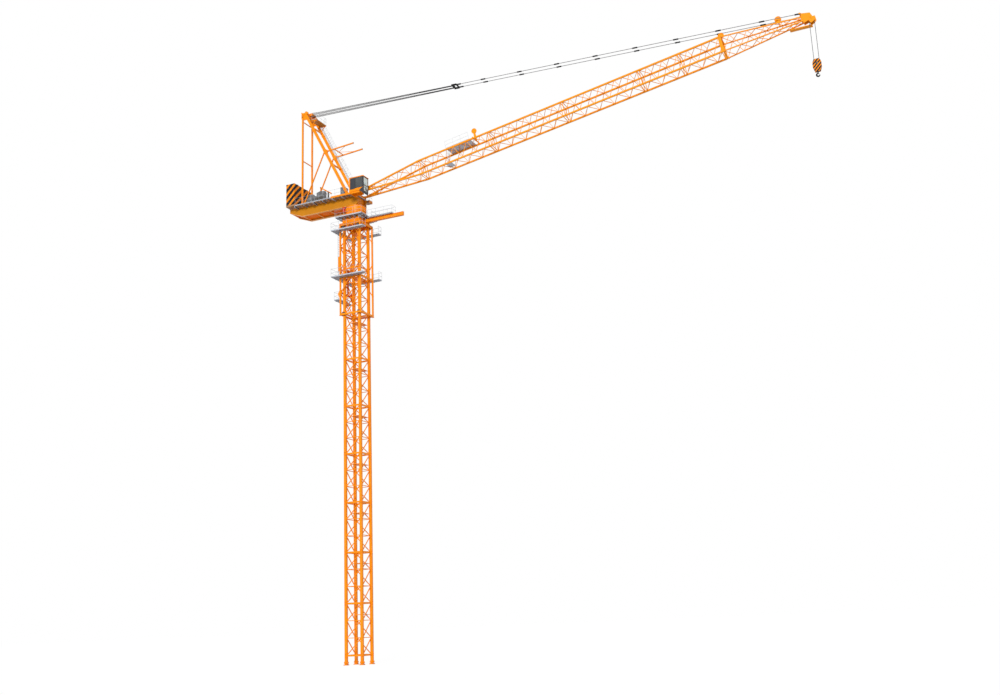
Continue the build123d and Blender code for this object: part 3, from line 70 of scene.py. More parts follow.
class Socket:
    """One output in a material. Arithmetic on it adds Math nodes."""

    def __init__(self, tree, output):
        self.tree = tree
        self.output = output

    def add(self, kind, settings, sockets, out=0):
        """Any node: its settings first, then values or links for its sockets."""
        node = self.tree.nodes.new(kind)
        for name, value in settings.items():
            setattr(node, name, value)
        for name, value in sockets.items():
            if isinstance(value, Socket):
                self.tree.links.new(value.output, node.inputs[name])
            else:
                node.inputs[name].default_value = value
        return Socket(self.tree, node.outputs[out])

    def maths(self, operation, *values):
        return self.add("ShaderNodeMath", {"operation": operation}, dict(enumerate(values)))

    def __add__(self, other):
        return self.maths("ADD", self, other)

    def __radd__(self, other):
        return self.maths("ADD", other, self)

    def __sub__(self, other):
        return self.maths("SUBTRACT", self, other)

    def __mul__(self, other):
        return self.maths("MULTIPLY", self, other)

    def __truediv__(self, other):
        return self.maths("DIVIDE", self, other)

    def __lt__(self, other):
        return self.maths("LESS_THAN", self, other)

    def __gt__(self, other):
        return self.maths("GREATER_THAN", self, other)

    def fraction(self):
        return self.maths("FRACT", self)

    def axes(self):
        """The X, Y and Z of a vector."""
        split = self.add("ShaderNodeSeparateXYZ", {}, {0: self})
        return [Socket(self.tree, output) for output in split.output.node.outputs]

    def stretched(self, x, y, z):
        return self.add("ShaderNodeVectorMath", {"operation": "MULTIPLY"}, {0: self, 1: (x, y, z)})

    def noise(self, scale, detail=3.0):
        return self.add("ShaderNodeTexNoise", {}, {"Vector": self, "Scale": scale, "Detail": detail})

    def between(self, first, second):
        """A colour that goes from first to second as this value goes from 0 to 1."""
        sides = [c if isinstance(c, Socket) else (*c, 1.0) for c in (first, second)]
        return self.add("ShaderNodeMix", {"data_type": "RGBA"}, {0: self, 6: sides[0], 7: sides[1]}, 2)

    def ramp(self, low, high):
        """This value spread from 0 at low to 1 at high, held beyond them."""
        return self.add("ShaderNodeMapRange", {}, {0: self, 1: low, 2: high, 3: 0.0, 4: 1.0})

    def bump(self, strength, distance):
        return self.add("ShaderNodeBump", {}, {"Strength": strength, "Distance": distance, "Height": self})

    def feed(self, shader, name):
        self.tree.links.new(self.output, shader.inputs[name])


def finish(name, slot, roughness, metallic=0.0, coat=0.0, specular=0.5):
    """A new material, with its shader, and the place on the piece in metres. The slot is not used."""
    material = bpy.data.materials.new(name)
    material.use_nodes = True
    tree = material.node_tree
    shader = tree.nodes["Principled BSDF"]
    shader.inputs["Roughness"].default_value = roughness
    shader.inputs["Metallic"].default_value = metallic
    shader.inputs["Coat Weight"].default_value = coat
    shader.inputs["Specular IOR Level"].default_value = specular
    place = Socket(tree, tree.nodes.new("ShaderNodeTexCoord").outputs["Object"])
    return material, shader, place


def mottled(name, slot, roughness, scale, tones, follow=None, grain=None, detail=3.0, **gloss):
    """Patches of two close tones, roughness that follows them, and a grain: scale, strength, depth."""
    material, shader, place = finish(name, slot, roughness, **gloss)
    patches = place.noise(scale, detail)
    patches.between(*tones).feed(shader, "Base Color")
    if follow:
        (follow[0] + patches * follow[1]).feed(shader, "Roughness")
    if grain:
        place.noise(grain[0]).bump(*grain[1:]).feed(shader, "Normal")
    return material


def paint(material, *nodes):
    """Gives CAD nodes their finish."""
    for node in nodes:
        mesh = frame["nodes"][node].data
        mesh.materials.clear()
        mesh.materials.append(material)


class Shape:
    """A mesh put together from plates, bars and turned pieces, in the crane's frame and in metres."""

    def __init__(self):
        self.mesh = bmesh.new()

    def add(self, points, faces):
        verts = [self.mesh.verts.new(p) for p in points]
        for face in faces:
            self.mesh.faces.new([verts[i] for i in face])

    def prism(self, outline, along):
        """A plate: an outline, thickened along a vector."""
        low = [Vector(p) for p in outline]
        n = len(low)
        walls = [(i, (i + 1) % n, n + (i + 1) % n, n + i) for i in range(n)]
        self.add(low + [p + Vector(along) for p in low], walls + [tuple(range(n)), tuple(range(n, 2 * n))])

    def side_plate(self, outline, y0, y1):
        """A plate that stands along the crane: pairs of X and Z, from one Y to another."""
        self.prism([(x, y0, z) for x, z in outline], (0, y1 - y0, 0))

    def block(self, low, high):
        (x0, y0, z0), (x1, y1, z1) = low, high
        self.prism([(x0, y0, z0), (x1, y0, z0), (x1, y1, z0), (x0, y1, z0)], (0, 0, z1 - z0))

    def lump(self, centre, size):
        """A block about its centre."""
        half = Vector(size) / 2
        self.block(Vector(centre) - half, Vector(centre) + half)

    def bar(self, start, end, width, depth, up=UP):
        """A flat bar: width across it, depth along up."""
        start, along = Vector(start), Vector(end) - Vector(start)
        across = along.cross(Vector(up)).normalized() * width / 2
        rise = across.cross(along).normalized() * depth / 2
        corners = [start - across - rise, start + across - rise, start + across + rise, start - across + rise]
        self.prism(corners, along)

    def rings(self, rings, closed=False):
        """Skin over rings of points, with flat ends unless it closes on itself."""
        n = len(rings[0])
        points = [p for ring in rings for p in ring]
        faces = []
        last = len(rings) if closed else len(rings) - 1
        for k in range(last):
            a, b = k * n, (k + 1) % len(rings) * n
            faces += [(a + i, a + (i + 1) % n, b + (i + 1) % n, b + i) for i in range(n)]
        if not closed:
            faces += [tuple(range(n)), tuple(range(len(points) - n, len(points)))]
        self.add(points, faces)

    def turned(self, profile, centre, axis, sides=24, closed=False):
        """A turned piece: pairs of place along the axis and radius."""
        axis = Vector(axis).normalized()
        side = axis.orthogonal().normalized()
        other = axis.cross(side)
        turns = [2 * math.pi * i / sides for i in range(sides)]
        spokes = [side * math.cos(t) + other * math.sin(t) for t in turns]
        self.rings([[Vector(centre) + axis * a + s * r for s in spokes] for a, r in profile], closed)

    def disc(self, centre, axis, radius, height, sides):
        self.turned([(0, radius), (height, radius)], centre, axis, sides)

    def tube(self, start, end, radius, sides=8):
        along = Vector(end) - Vector(start)
        self.disc(start, along, radius, along.length, sides)

    def pin(self, middle, reach, radius, sides, axis=ACROSS):
        """A round bar that reaches equally far to both sides of its middle."""
        middle, reach = Vector(middle), Vector(axis) * reach
        self.tube(middle - reach, middle + reach, radius, sides)

    def bent(self, points, radii, sides):
        """A bent bar through points, with one radius or a radius at each."""
        points = [Vector(p) for p in points]
        radii = radii if isinstance(radii, list) else [radii] * len(points)
        turns = [2 * math.pi * k / sides for k in range(sides)]
        rings = []
        side = None
        for i, point in enumerate(points):
            along = (points[min(i + 1, len(points) - 1)] - points[max(i - 1, 0)]).normalized()
            side = along.orthogonal() if side is None else side - along * side.dot(along)
            side.normalize()
            other = along.cross(side)
            rings.append([point + (side * math.cos(t) + other * math.sin(t)) * radii[i] for t in turns])
        self.rings(rings)

    def piece(self, name, body, material, bevel=0.0, place=Matrix.Identity(4)):
        """The finished mesh as a piece that moves with a body."""
        bmesh.ops.transform(self.mesh, matrix=place, verts=self.mesh.verts)
        bmesh.ops.recalc_face_normals(self.mesh, faces=self.mesh.faces)
        mesh = bpy.data.meshes.new(name)
        self.mesh.to_mesh(mesh)
        self.mesh.free()
        mesh.polygons.foreach_set("use_smooth", [True] * len(mesh.polygons))
        mesh.set_sharp_from_angle(angle=math.radians(35))
        mesh.materials.append(material)
        piece = bpy.data.objects.new(name, mesh)
        bpy.context.scene.collection.objects.link(piece)
        if bevel:
            edge = piece.modifiers.new("edges", "BEVEL")
            edge.width = bevel
            edge.limit_method = "ANGLE"
        if body:
            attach(piece, body)
        return piece


dark_steel = mottled("dark_oiled_steel", "dark_steel", 0.42, 9.0,
                     ((0.055, 0.050, 0.046), (0.12, 0.105, 0.09)),
                     (0.32, 0.3), (60.0, 0.12, 0.003), metallic=0.6)
leg_low, leg_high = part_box("mast_right_side")
leg = leg_high.y - leg_low.y
half_mast = leg_high.x - leg / 2
foot_top = leg_low.z
bolt_reach, bolt_radius, nut_radius, washer_radius = 0.095, 0.010, 0.016, 0.018
washer_top, nut_top, bolt_top = 0.004, 0.020, 0.034
shank = [(-0.04, bolt_radius), (bolt_top, bolt_radius), (bolt_top + 0.004, 0.007)]
anchors = Shape()
for sx, sy in CORNERS:
    for dx, dy in CORNERS:
        bolt = (sx * half_mast + dx * bolt_reach, sy * half_mast + dy * bolt_reach, foot_top)
        anchors.disc(bolt, UP, washer_radius, washer_top, 16)
        anchors.turned([(washer_top, nut_radius), (nut_top, nut_radius)], bolt, UP, 6)
        anchors.turned(shank, bolt, UP, 12)
anchors.piece("anchor_bolts", "tower", dark_steel)

# Mast: square lattice sections of welded box legs and angle bracing, sprayed amber-orange over primer.
# Sections join at every third bay with pinned lugs on the legs. The paint is faded in patches and streaked.
SIDES = (-1, 1)
AMBER = (0.910, 0.284, 0.003)
AMBER_DEEP = (0.855, 0.248, 0.002)
GRIME = (0.380, 0.095, 0.006)
PRIMER = (0.210, 0.085, 0.035)


def orange_finish(name, fresh=AMBER, faded=AMBER_DEEP, specular=0.22, slot="orange_paint"):
    """Satin amber-orange paint with faded patches, rain streaks, orange peel and a few chips."""
    material, shader, place = finish(name, slot, 0.42, specular=specular)
    fade = place.noise(0.6).ramp(0.35, 0.65)
    streak = place.stretched(9.0, 9.0, 0.7).noise(1.0, 4.0).ramp(0.60, 0.85)
    dirty = (streak * 0.25).between(fade.between(fresh, faded), GRIME)
    chip = place.noise(34.0, 6.0).ramp(0.74, 0.76) * place.noise(1.3).ramp(0.5, 0.7)
    chip.between(dirty, PRIMER).feed(shader, "Base Color")
    (0.38 + fade * 0.10 + streak * 0.2).feed(shader, "Roughness")
    (place.noise(160.0, 1.0) - chip * 2.0).bump(0.06, 0.002).feed(shader, "Normal")
    return material


orange = orange_finish("amber_paint")
paint(orange, "mast_left_side", "mast_right_side", "mast_cross_bracing", "mast_feet")
first_joint, section = 0.55, 3.0
mast_top = leg_high.z
joints = [first_joint + section * k for k in range(round((mast_top - first_joint) / section) + 1)]
lug_thick, lug_outline = 0.018, ((-0.15, 0), (-0.12, 0.014), (0.12, 0.014), (0.15, 0))
pin_reach, pin_radius = 0.05, 0.009
boss_rise, boss_reach, boss_radius = 0.11, 0.135, 0.055
lugs = Shape()
pins = Shape()
for sx, sy in CORNERS:
    corner = Vector((sx * half_mast, sy * half_mast, 0))
    for z in joints[:-1]:
        for out in (Vector((sx, 0, 0)), Vector((0, sy, 0))):
            across = Vector((-out.y, out.x, 0))
            face = corner + out * leg / 2 + Vector((0, 0, z))
            for shift in (-0.034, 0.034):
                plate = face + across * (shift - lug_thick / 2)
                outline = [plate + out * reach + Vector((0, 0, rise)) for rise, reach in lug_outline]
                lugs.prism(outline, across * lug_thick)
            for rise in (-0.08, 0.08):
                pins.pin(face + out * 0.004 + Vector((0, 0, rise)), pin_reach, pin_radius, 8, across)
    for axis in ((1, 0, 0), ACROSS):
        lugs.pin(corner + Vector((0, 0, foot_top + boss_rise)), boss_reach, boss_radius, 14, axis)
bay = section / 3
inner = half_mast - leg / 2
panel = half_mast + 0.0235
gusset_thick, gusset = 0.008, ((0, 0), (0, 0.15), (0.10, 0.02), (0.10, 0))
gussets = Shape()
for i in range(3 * (len(joints) - 1)):
    for end, level, up in ((-1, first_joint + i * bay, 1), (1, first_joint + (i + 1) * bay, -1)):
        for side in SIDES:
            outline = [(side * end * (inner - d), level + up * h) for d, h in gusset]
            gussets.prism([(-a, side * panel, z) for a, z in outline], (0, side * gusset_thick, 0))
            gussets.prism([(side * panel, a, z) for a, z in outline], (side * gusset_thick, 0, 0))
lugs.piece("mast_joint_lugs", "tower", orange)
pins.piece("mast_joint_pins", "tower", dark_steel)
gussets.piece("mast_gussets", "tower", orange)

# Climbing way inside the mast: a ladder behind the landings, all of it painted with the mast.
# Ladder stiles are flat bar with round rungs, clamped to the mast's horizontals.
paint(orange, "mast_landings")


def ladder(shape, foot, head, width=0.24, pitch=0.15):
    """Two stiles and round rungs between two points, facing along the crane."""
    foot, head, across = Vector(foot), Vector(head), Vector(ACROSS) * width / 2
    along = head - foot
    stile_width, stile_depth, rung_radius = 0.010, 0.028, 0.008
    for side in SIDES:
        stile = foot + across * side
        shape.bar(stile, stile + along, stile_width, stile_depth, up=along.cross(across))
    count = int(along.length / pitch)
    for i in range(1, count):
        shape.pin(foot + along * i / count, width / 2, rung_radius, 6)


climb = Shape()
ladder_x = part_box("mast_landings")[0].x - 0.09
ladder(climb, (ladder_x, 0, first_joint), (ladder_x, 0, mast_top))
for z in joints:
    climb.bar((ladder_x - 0.02, -inner, z), (ladder_x - 0.02, inner, z), 0.02, 0.03)
climb.piece("mast_ladder", "tower", orange)

# Climbing cage: a square frame of box posts and knee braces round the mast's top, open at the front.
# Guide shoes with rollers run on the mast's legs. Walkways of zinc grating with toe boards and rails run
# round its sides and rear at two levels, and across its rear at a third.
zinc, shader, place = finish("zinc", "grey_grating", 0.45, metallic=0.35)
spangle = place.add("ShaderNodeTexVoronoi", {"feature": "F1"}, {"Vector": place, "Scale": 45.0})
spangle.between((0.47, 0.50, 0.55), (0.36, 0.385, 0.42)).feed(shader, "Base Color")
(0.38 + place.noise(14.0) * 0.25).feed(shader, "Roughness")

grating, shader, place = finish("zinc_grating", "grey_grating", 0.5, metallic=0.2)
x, y, _ = place.axes()
bearing_bars = (x / 0.035).fraction() < 0.38
cross_bars = (y / 0.100).fraction() < 0.10
solid = (bearing_bars + cross_bars) > 0.5
dull = place.noise(6.0)
tone = dull.between((0.58, 0.62, 0.70), (0.46, 0.50, 0.57))
solid.between((0.17, 0.18, 0.21), tone).feed(shader, "Base Color")
(0.4 + dull * 0.25).feed(shader, "Roughness")
solid.bump(0.5, 0.01).feed(shader, "Normal")

paint(orange, "cage_left_side", "cage_right_side", "cage_rear_bracing", "cage_front_beams")
paint(dark_steel, "cage_guide_shoes")
paint(grating, "cage_upper_platform", "cage_middle_platform", "cage_lower_platform")
cage_low, cage_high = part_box("cage_right_side")
cage_post = cage_high.y - cage_low.y
half_cage = cage_high.x - cage_post / 2
arrow = ((0, 1.14), (-0.13, 1.44), (0, 1.66))
collars = ((-0.005, 0.124, 0.05), (1.39, 0.104, 0.1), (3.55, 0.104, 0.1), (5.04, 0.104, 0.1))
cage_fittings = Shape()
for sx, sy in CORNERS:
    for rise, width, height in collars:
        cage_fittings.lump((sx * half_cage, sy * half_cage, cage_low.z + rise), (width, width, height))
for side in SIDES:
    cage_fittings.lump((cage_low.x - 0.05, side * half_cage, cage_low.z + 3.435), (0.10, 0.10, 0.97))
    outline = [(cage_low.x + dx, cage_low.z + rise) for dx, rise in arrow]
    cage_fittings.side_plate(outline, side * half_cage - 0.05, side * half_cage + 0.05)
cage_fittings.piece("cage_post_collars", "tower", orange, bevel=0.008)

leg_face = half_mast + leg / 2
rollers = Shape()
for sx, sy in CORNERS:
    for z in (cage_low.z + 0.1, cage_high.z - 0.1):
        centre = (sx * (leg_face + 0.035), sy * (leg_face + 0.05), z)
        rollers.turned([(-0.02, 0.05), (0, 0.055), (0.02, 0.05)], centre, ACROSS, 16)
        rollers.pin(centre, 0.03, 0.018, 10)
rollers.piece("cage_guide_rollers", "tower", dark_steel)

edge_inset = 0.012


def handrail(shape, line, level, height=0.5, spacing=0.62, radius=0.006):
    """Posts, two rails and a toe board along a line of corners at floor level."""
    corners = [Vector((x, y, level)) for x, y in line]
    rise = Vector((0, 0, height))
    toe, toe_thick = Vector((0, 0, 0.035)), 0.006
    for k, (a, b) in enumerate(zip(corners, corners[1:])):
        count = max(1, round((b - a).length / spacing))
        for i in range(min(k, 1), count + 1):
            post = a.lerp(b, i / count)
            shape.tube(post, post + rise, radius, 6)
        for share in (0.5, 1.0):
            shape.tube(a + rise * share, b + rise * share, radius, 6)
        shape.bar(a + toe / 2, b + toe / 2, toe_thick, toe.z)


cage_rails = Shape()
platform_frames = Shape()
rail_end = half_cage + cage_post / 2 + 0.01
bearer = 0.03
for node in ("cage_upper_platform", "cage_middle_platform", "cage_lower_platform"):
    low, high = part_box(node)
    all_round = node != "cage_lower_platform"
    bearer_z = low.z - bearer / 2
    for at in (-0.62, -0.2, 0.2, 0.62):
        platform_frames.bar((low.x, at, bearer_z), (-half_cage, at, bearer_z), bearer, bearer)
        for y0, y1 in ((low.y, -half_cage), (half_cage, high.y)) if all_round else ():
            platform_frames.bar((at, y0, bearer_z), (at, y1, bearer_z), bearer, bearer)
    line = [(high.x, low.y), (low.x, low.y), (low.x, high.y), (high.x, high.y)]
    if all_round:
        x0, y0, x1, y1 = low.x + edge_inset, low.y + edge_inset, high.x - edge_inset, high.y - edge_inset
        line = [(x1, -rail_end), (x1, y0), (x0, y0), (x0, y1), (x1, y1), (x1, rail_end)]
    handrail(cage_rails, line, high.z, 0.52, radius=0.007)
cage_rails.piece("cage_handrails", "tower", zinc)
platform_frames.piece("cage_platform_brackets", "tower", zinc)

cage_climb = Shape()
cage_ladder_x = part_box("cage_upper_platform")[0].x + 0.16
lower_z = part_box("cage_lower_platform")[1].z
middle_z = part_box("cage_middle_platform")[1].z
ladder(cage_climb, (cage_ladder_x, 0.45, lower_z), (cage_ladder_x, 0.45, middle_z))
ladder(cage_climb, (cage_ladder_x, -0.45, middle_z), (cage_ladder_x, -0.45, cage_high.z - 0.47))
cage_climb.piece("cage_ladders", "tower", zinc)

# Climbing jack: a hydraulic cylinder between two cross beams at the mast's rear, all in signal red.
# Gland nut, port blocks and pipes are bolted on; the pump set stands on the middle walkway.
red = mottled("signal_red_paint", "red_paint", 0.45, 7.0, ((0.70, 0.045, 0.010), (0.52, 0.036, 0.010)),
              (0.30, 0.2), specular=0.2)
paint(red, "jack_beams", "jack_cylinder")
jack_low, jack_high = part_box("jack_cylinder")
jack_x = (jack_low.x + jack_high.x) / 2
gland = jack_high.z - 0.42
barrel = 0.050
jack = Shape()
jack.disc((jack_x, 0, jack_low.z + 0.25), UP, barrel, 0.9, 24)
jack.turned([(-0.05, barrel), (0.03, barrel), (0.035, 0.032)], (jack_x, 0, gland), UP, 24)
for z in (jack_low.z + 0.03, jack_high.z - 0.09):
    jack.pin((jack_x, 0, z), 0.028, 0.045, 8, UP)
for z in (jack_low.z + 0.12, gland - 0.1):
    jack.lump((jack_x, 0.055, z), (0.04, 0.04, 0.06))
pipe = ((0.06, jack_low.z + 0.12), (0.11, jack_low.z + 0.2), (0.12, gland - 0.25), (0.07, gland - 0.12))
jack.bent([(jack_x, y, z) for y, z in pipe], 0.010, 8)
for side in SIDES:
    jack.lump((jack_x - 0.01, side * 0.40, jack_low.z - 0.035), (0.08, 0.14, 0.27))
    jack.lump((jack_x - 0.01, side * 0.34, jack_high.z + 0.08), (0.08, 0.16, 0.28))
jack.piece("jack_fittings", "tower", red, bevel=0.004)

pump = Shape()
pump_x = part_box("cage_middle_platform")[0].x + 0.2
tank_top = middle_z + 0.22
pump.block((pump_x - 0.12, 0.10, middle_z), (pump_x + 0.12, 0.46, tank_top))
pump.turned([(0, 0.06), (0.14, 0.06), (0.16, 0.05)], (pump_x, 0.2, tank_top), UP, 20)
pump.disc((pump_x, 0.38, tank_top), UP, 0.03, 0.05, 12)
pump.piece("jack_pump_set", "tower", red, bevel=0.006)

# Slewing base: a welded box that sits on the mast's legs and carries the slewing ring, with upright ribs.
# The ring is a turned and drilled bearing race, bolted down all round. A railed walkway circles the base.
paint(orange, "slew_base", "slew_ring")
paint(grating, "slew_walkway")
base_low, base_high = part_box("slew_base")
ring_low, ring_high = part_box("slew_ring")
walk_low, walk_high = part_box("slew_walkway")
base_half = walk_high.x - 0.36
rib_out, rib_half = base_half + 0.05, 0.01
base_ribs = Shape()
for side in SIDES:
    for at in (-0.5, -0.25, 0.0, 0.25, 0.5):
        for z0, z1 in ((base_low.z + 0.05, walk_high.z - 0.05), (walk_high.z + 0.01, base_high.z)):
            base_ribs.block((at - rib_half, side * base_half, z0), (at + rib_half, side * rib_out, z1))
            if side < 0 or abs(at) > 0.2 or z1 > walk_high.z:
                base_ribs.block((side * base_half, at - rib_half, z0), (side * rib_out, at + rib_half, z1))
base_ribs.piece("slew_base_ribs", "tower", orange, bevel=0.003)


def spoke(share):
    """A level unit vector at a share of a full turn."""
    return Vector((math.cos(2 * math.pi * share), math.sin(2 * math.pi * share), 0))


bolt_count, tooth_count = 48, 96
tooth = ((0.0, 0.0), (0.25, 0.016), (0.55, 0.016), (0.8, 0.0))
ring_bolts = Shape()
for i in range(bolt_count):
    spot = spoke(i / bolt_count) * (ring_high.x - 0.06) + Vector((0, 0, ring_low.z))
    ring_bolts.disc(spot, UP, 0.017, -0.002, 6)
teeth = [spoke((i + step) / tooth_count) * (ring_high.x + reach) + Vector((0, 0, ring_low.z + 0.03))
         for i in range(tooth_count) for step, reach in tooth]
ring_bolts.prism(teeth, (0, 0, 0.06))
ring_bolts.piece("slew_ring_teeth", "tower", orange)

edge = walk_high.x - edge_inset
slew_rails = Shape()
slew_line = [(edge, -0.27), (edge, -edge), (-edge, -edge), (-edge, edge), (edge, edge), (edge, 0.27)]
handrail(slew_rails, slew_line, walk_high.z, 0.48, radius=0.007)
slew_rails.piece("slew_walkway_rails", "tower", zinc)
bracket = ((base_half, 0), (edge, 0), (edge, -0.04), (base_half, -0.16))
bracket_half = 0.012
walk_brackets = Shape()
for side in SIDES:
    outline = [(side * out, walk_low.z + rise) for out, rise in bracket]
    for at in (-0.75, -0.375, 0.0, 0.375, 0.75):
        walk_brackets.prism([(at - bracket_half, y, z) for y, z in outline], (2 * bracket_half, 0, 0))
        if side < 0 or at != 0.0:
            walk_brackets.side_plate(outline, at - bracket_half, at + bracket_half)
walk_brackets.piece("slew_walkway_brackets", "tower", zinc)

# Section beam: a rolled I-beam that brings new mast sections in, with web stiffeners and an end stop.
# A grated walkway with rails lies along its top.
paint(orange, "introduction_beam")
paint(grating, "introduction_walkway")
beam_low, beam_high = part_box("introduction_beam")
path_low, path_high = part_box("introduction_walkway")
flange = 0.018
beam_z0, beam_z1 = beam_low.z + 0.03, beam_high.z - 0.03
flanges = Shape()
for z0, z1 in ((beam_z0 - flange, beam_z0), (beam_z1 - flange, beam_z1 - 0.001)):
    flanges.block((path_low.x, beam_low.y - 0.035, z0), (beam_high.x - 0.032, beam_high.y + 0.035, z1))
for x in (1.1, 1.6, 2.1, 2.6, 3.1):
    for side in SIDES:
        flanges.block((x - 0.008, side * beam_high.y, beam_z0),
                      (x + 0.008, side * (beam_high.y + 0.03), beam_z1 - flange))
knee = ((base_half, beam_z0), (base_half + 0.42, beam_z0), (base_half, beam_z0 - 0.04))
flanges.side_plate(knee, -0.02, 0.02)
flanges.piece("section_beam_flanges", "tower", orange, bevel=0.003)
path_rails = Shape()
x1, y0, y1 = path_high.x - edge_inset, path_low.y + edge_inset, path_high.y - edge_inset
handrail(path_rails, [(path_low.x, y0), (x1, y0), (x1, y1), (path_low.x, y1)], path_high.z)
path_rails.piece("section_beam_rails", "tower", zinc)

# Turntable and machinery deck: two deep plate girders on a turned drum, with ribs and belly plates.
# Flanges and stiffeners are welded on. Grated walkways with toe boards and rails run along both sides.
paint(orange, "turntable", "deck_cross_beams", "jib_foot_forks", "cab_beams")
# A darker copy of the amber paint is painted shade: it goes on the girder sides and seams, the gantry
# platform and the luffing sheaves.
amber_painted_shade = orange_finish("amber_with_painted_shade", (0.56, 0.21, 0.005), (0.49, 0.18, 0.004))
# A paler copy of the amber paint is painted light: it goes on the girder flanges and the belly ribs.
amber_painted_light = orange_finish("amber_with_painted_light", (0.96, 0.46, 0.12), (0.90, 0.40, 0.09))
# A deep red-orange copy of the amber paint is painted shade for the downward-facing belly plates.
shade = orange_finish("amber_belly_painted_shade", (1.0, 0.20, 0.002), (0.92, 0.17, 0.002), 0.05)
rust_brown = orange_finish("brown_primer", (0.42, 0.23, 0.11), (0.33, 0.19, 0.10), slot="dark_steel")
paint(amber_painted_shade, "deck_girders")
paint(grating, "deck_floor", "deck_walkways")
girder_low, girder_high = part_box("deck_girders")
deck_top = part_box("deck_floor")[1].z
belly_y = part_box("deck_cross_beams")[1].y
taper_x, taper_z = -3.85, girder_high.z - 0.25
girder_flange = 0.016
slope = ((girder_low.x, taper_z), (taper_x, girder_low.z), (taper_x, girder_low.z - girder_flange),
         (girder_low.x, taper_z - girder_flange))
trim = Shape()
seams = Shape()
for side in SIDES:
    y0, y1 = side * (belly_y - 0.02), side * (girder_high.y + 0.035)
    trim.block((taper_x, y0, girder_low.z - girder_flange), (girder_high.x - 0.13, y1, girder_low.z))
    trim.side_plate(slope, y0, y1)
    web = side * girder_high.y
    trim.block((girder_low.x, web, girder_high.z - 0.02), (girder_high.x, web + side * 0.04, girder_high.z))
    seams.block((-0.76, web, girder_low.z), (-0.74, web + side * 0.012, girder_high.z - 0.02))
trim.piece("deck_girder_flanges", "upperworks", amber_painted_light, bevel=0.003)
beam_count = 4
beam_step = (girder_high.x - 0.23 - taper_x) / beam_count
belly = Shape()
ribs = Shape()
for i in range(beam_count):
    x = taper_x + beam_step * i
    belly.block((x + 0.102, -belly_y, girder_low.z + 0.075),
                (x + beam_step - 0.002, belly_y, girder_low.z + 0.088))
    if i > 0:
        ribs.block((x + 0.02, -belly_y, girder_low.z + 0.004), (x + 0.08, belly_y, girder_low.z + 0.02))
x0, x1, rear_z, front_z = girder_low.x + 0.1, taper_x - 0.02, taper_z + 0.05, girder_low.z + 0.06
belly_slope = ((x0, rear_z), (x1, front_z), (x1, front_z + 0.012), (x0, rear_z + 0.012))
belly.side_plate(belly_slope, -belly_y, belly_y)
belly.piece("deck_belly_plates", "upperworks", shade)
ribs.piece("deck_belly_ribs", "upperworks", amber_painted_light)
seams.piece("deck_girder_seams", "upperworks", amber_painted_shade)
bulkhead = Shape()
bulkhead.block((girder_high.x - 0.06, -0.40, deck_top), (girder_high.x, 0.40, deck_top + 0.15))
bulkhead.piece("deck_front_bulkhead", "upperworks", orange, bevel=0.003)

drum_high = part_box("turntable")[1]
rib_count, rib_z0, rib_z1 = 24, ring_high.z + 0.03, drum_high.z - 0.03
turntable_trim = Shape()
for z in (ring_high.z + 0.012, drum_high.z - 0.03):
    turntable_trim.disc((0, 0, z), UP, drum_high.x + 0.02, 0.024, 64)
for i in range(rib_count):
    out = spoke(i / rib_count)
    across = Vector((-out.y, out.x, 0)) * 0.012
    outline = [out * (drum_high.x + reach) - across + Vector((0, 0, z)) for reach, z in
               ((0, rib_z0), (0.02, rib_z0), (0.02, rib_z1), (0, rib_z1))]
    turntable_trim.prism(outline, across * 2)
turntable_trim.piece("turntable_ribs", "upperworks", orange)
slew_drives = Shape()
drive = [(0, 0.10), (-0.04, 0.10), (-0.05, 0.085), (-0.18, 0.085), (-0.20, 0.06), (-0.32, 0.06)]
for side in SIDES:
    slew_drives.turned(drive, (-0.62, side * 0.50, girder_low.z), UP, 24)
slew_drives.piece("slew_drives", "upperworks", red)

deck_walk_low, deck_walk_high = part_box("deck_walkways")
walk_y, walk_root, near_front = deck_walk_high.y, 0.62, 0.28
board = 0.012
bearer_count, bearer_pitch, bearer_width, bearer_top = 15, 0.29, 0.13, deck_top - 0.041
deck_rails = Shape()
edge_boards = Shape()
bearers = Shape()
for side, front_x in ((-1, near_front), (1, deck_walk_high.x)):
    y = side * (walk_y - edge_inset)
    line = [(deck_walk_low.x + 0.05, y), (front_x - edge_inset, y)]
    if side > 0:
        line.append((front_x - edge_inset, belly_y + 0.24))
    handrail(deck_rails, line, deck_top)
    edge_boards.block((-1.3, side * walk_y, deck_top - 0.06),
                      (front_x, side * (walk_y + board), deck_top + 0.06))
    for i in range(bearer_count):
        x = deck_walk_low.x + 0.17 + i * bearer_pitch
        bearers.block((x, side * walk_root, deck_top - 0.075), (x + bearer_width, side * walk_y, bearer_top))
edge_boards.block((deck_walk_high.x, walk_root, deck_top - 0.16),
                  (deck_walk_high.x + board, walk_y + board, deck_top))
bearers.block((near_front, walk_root, deck_top - 0.16), (deck_walk_high.x, walk_y, bearer_top))
deck_rails.piece("deck_handrails", "upperworks", zinc)
edge_boards.piece("deck_edge_boards", "upperworks", orange)
bearers.piece("deck_walkway_bearers", "upperworks", rust_brown)

# Counterweight: five ballast slabs on edge across the deck's rear, in a shallow tray of brown-primed plate.
# They have amber and black warning stripes, with lifting eyes on top and through-bolts at the sides.


def striped_finish(name, period, shift=0.0):
    """Diagonal warning stripes in amber and black, with rubbed edges."""
    material, shader, place = finish(name, "warning_stripes", 0.5, specular=0.15)
    x, y, z = place.axes()
    wobble = place.noise(25.0) * 0.006
    band = ((x + y - z + wobble) / period + shift).fraction() < 0.58
    dull = place.noise(3.0)
    amber = dull.between(AMBER, AMBER_DEEP)
    black = dull.between((0.006, 0.008, 0.014), (0.016, 0.017, 0.022))
    rubbed = place.noise(30.0, 6.0).ramp(0.70, 0.73)
    (rubbed * 0.4).between(band.between(amber, black), (0.12, 0.10, 0.09)).feed(shader, "Base Color")
    (0.4 + dull * 0.2).feed(shader, "Roughness")
    place.noise(90.0).bump(0.08, 0.003).feed(shader, "Normal")
    return material


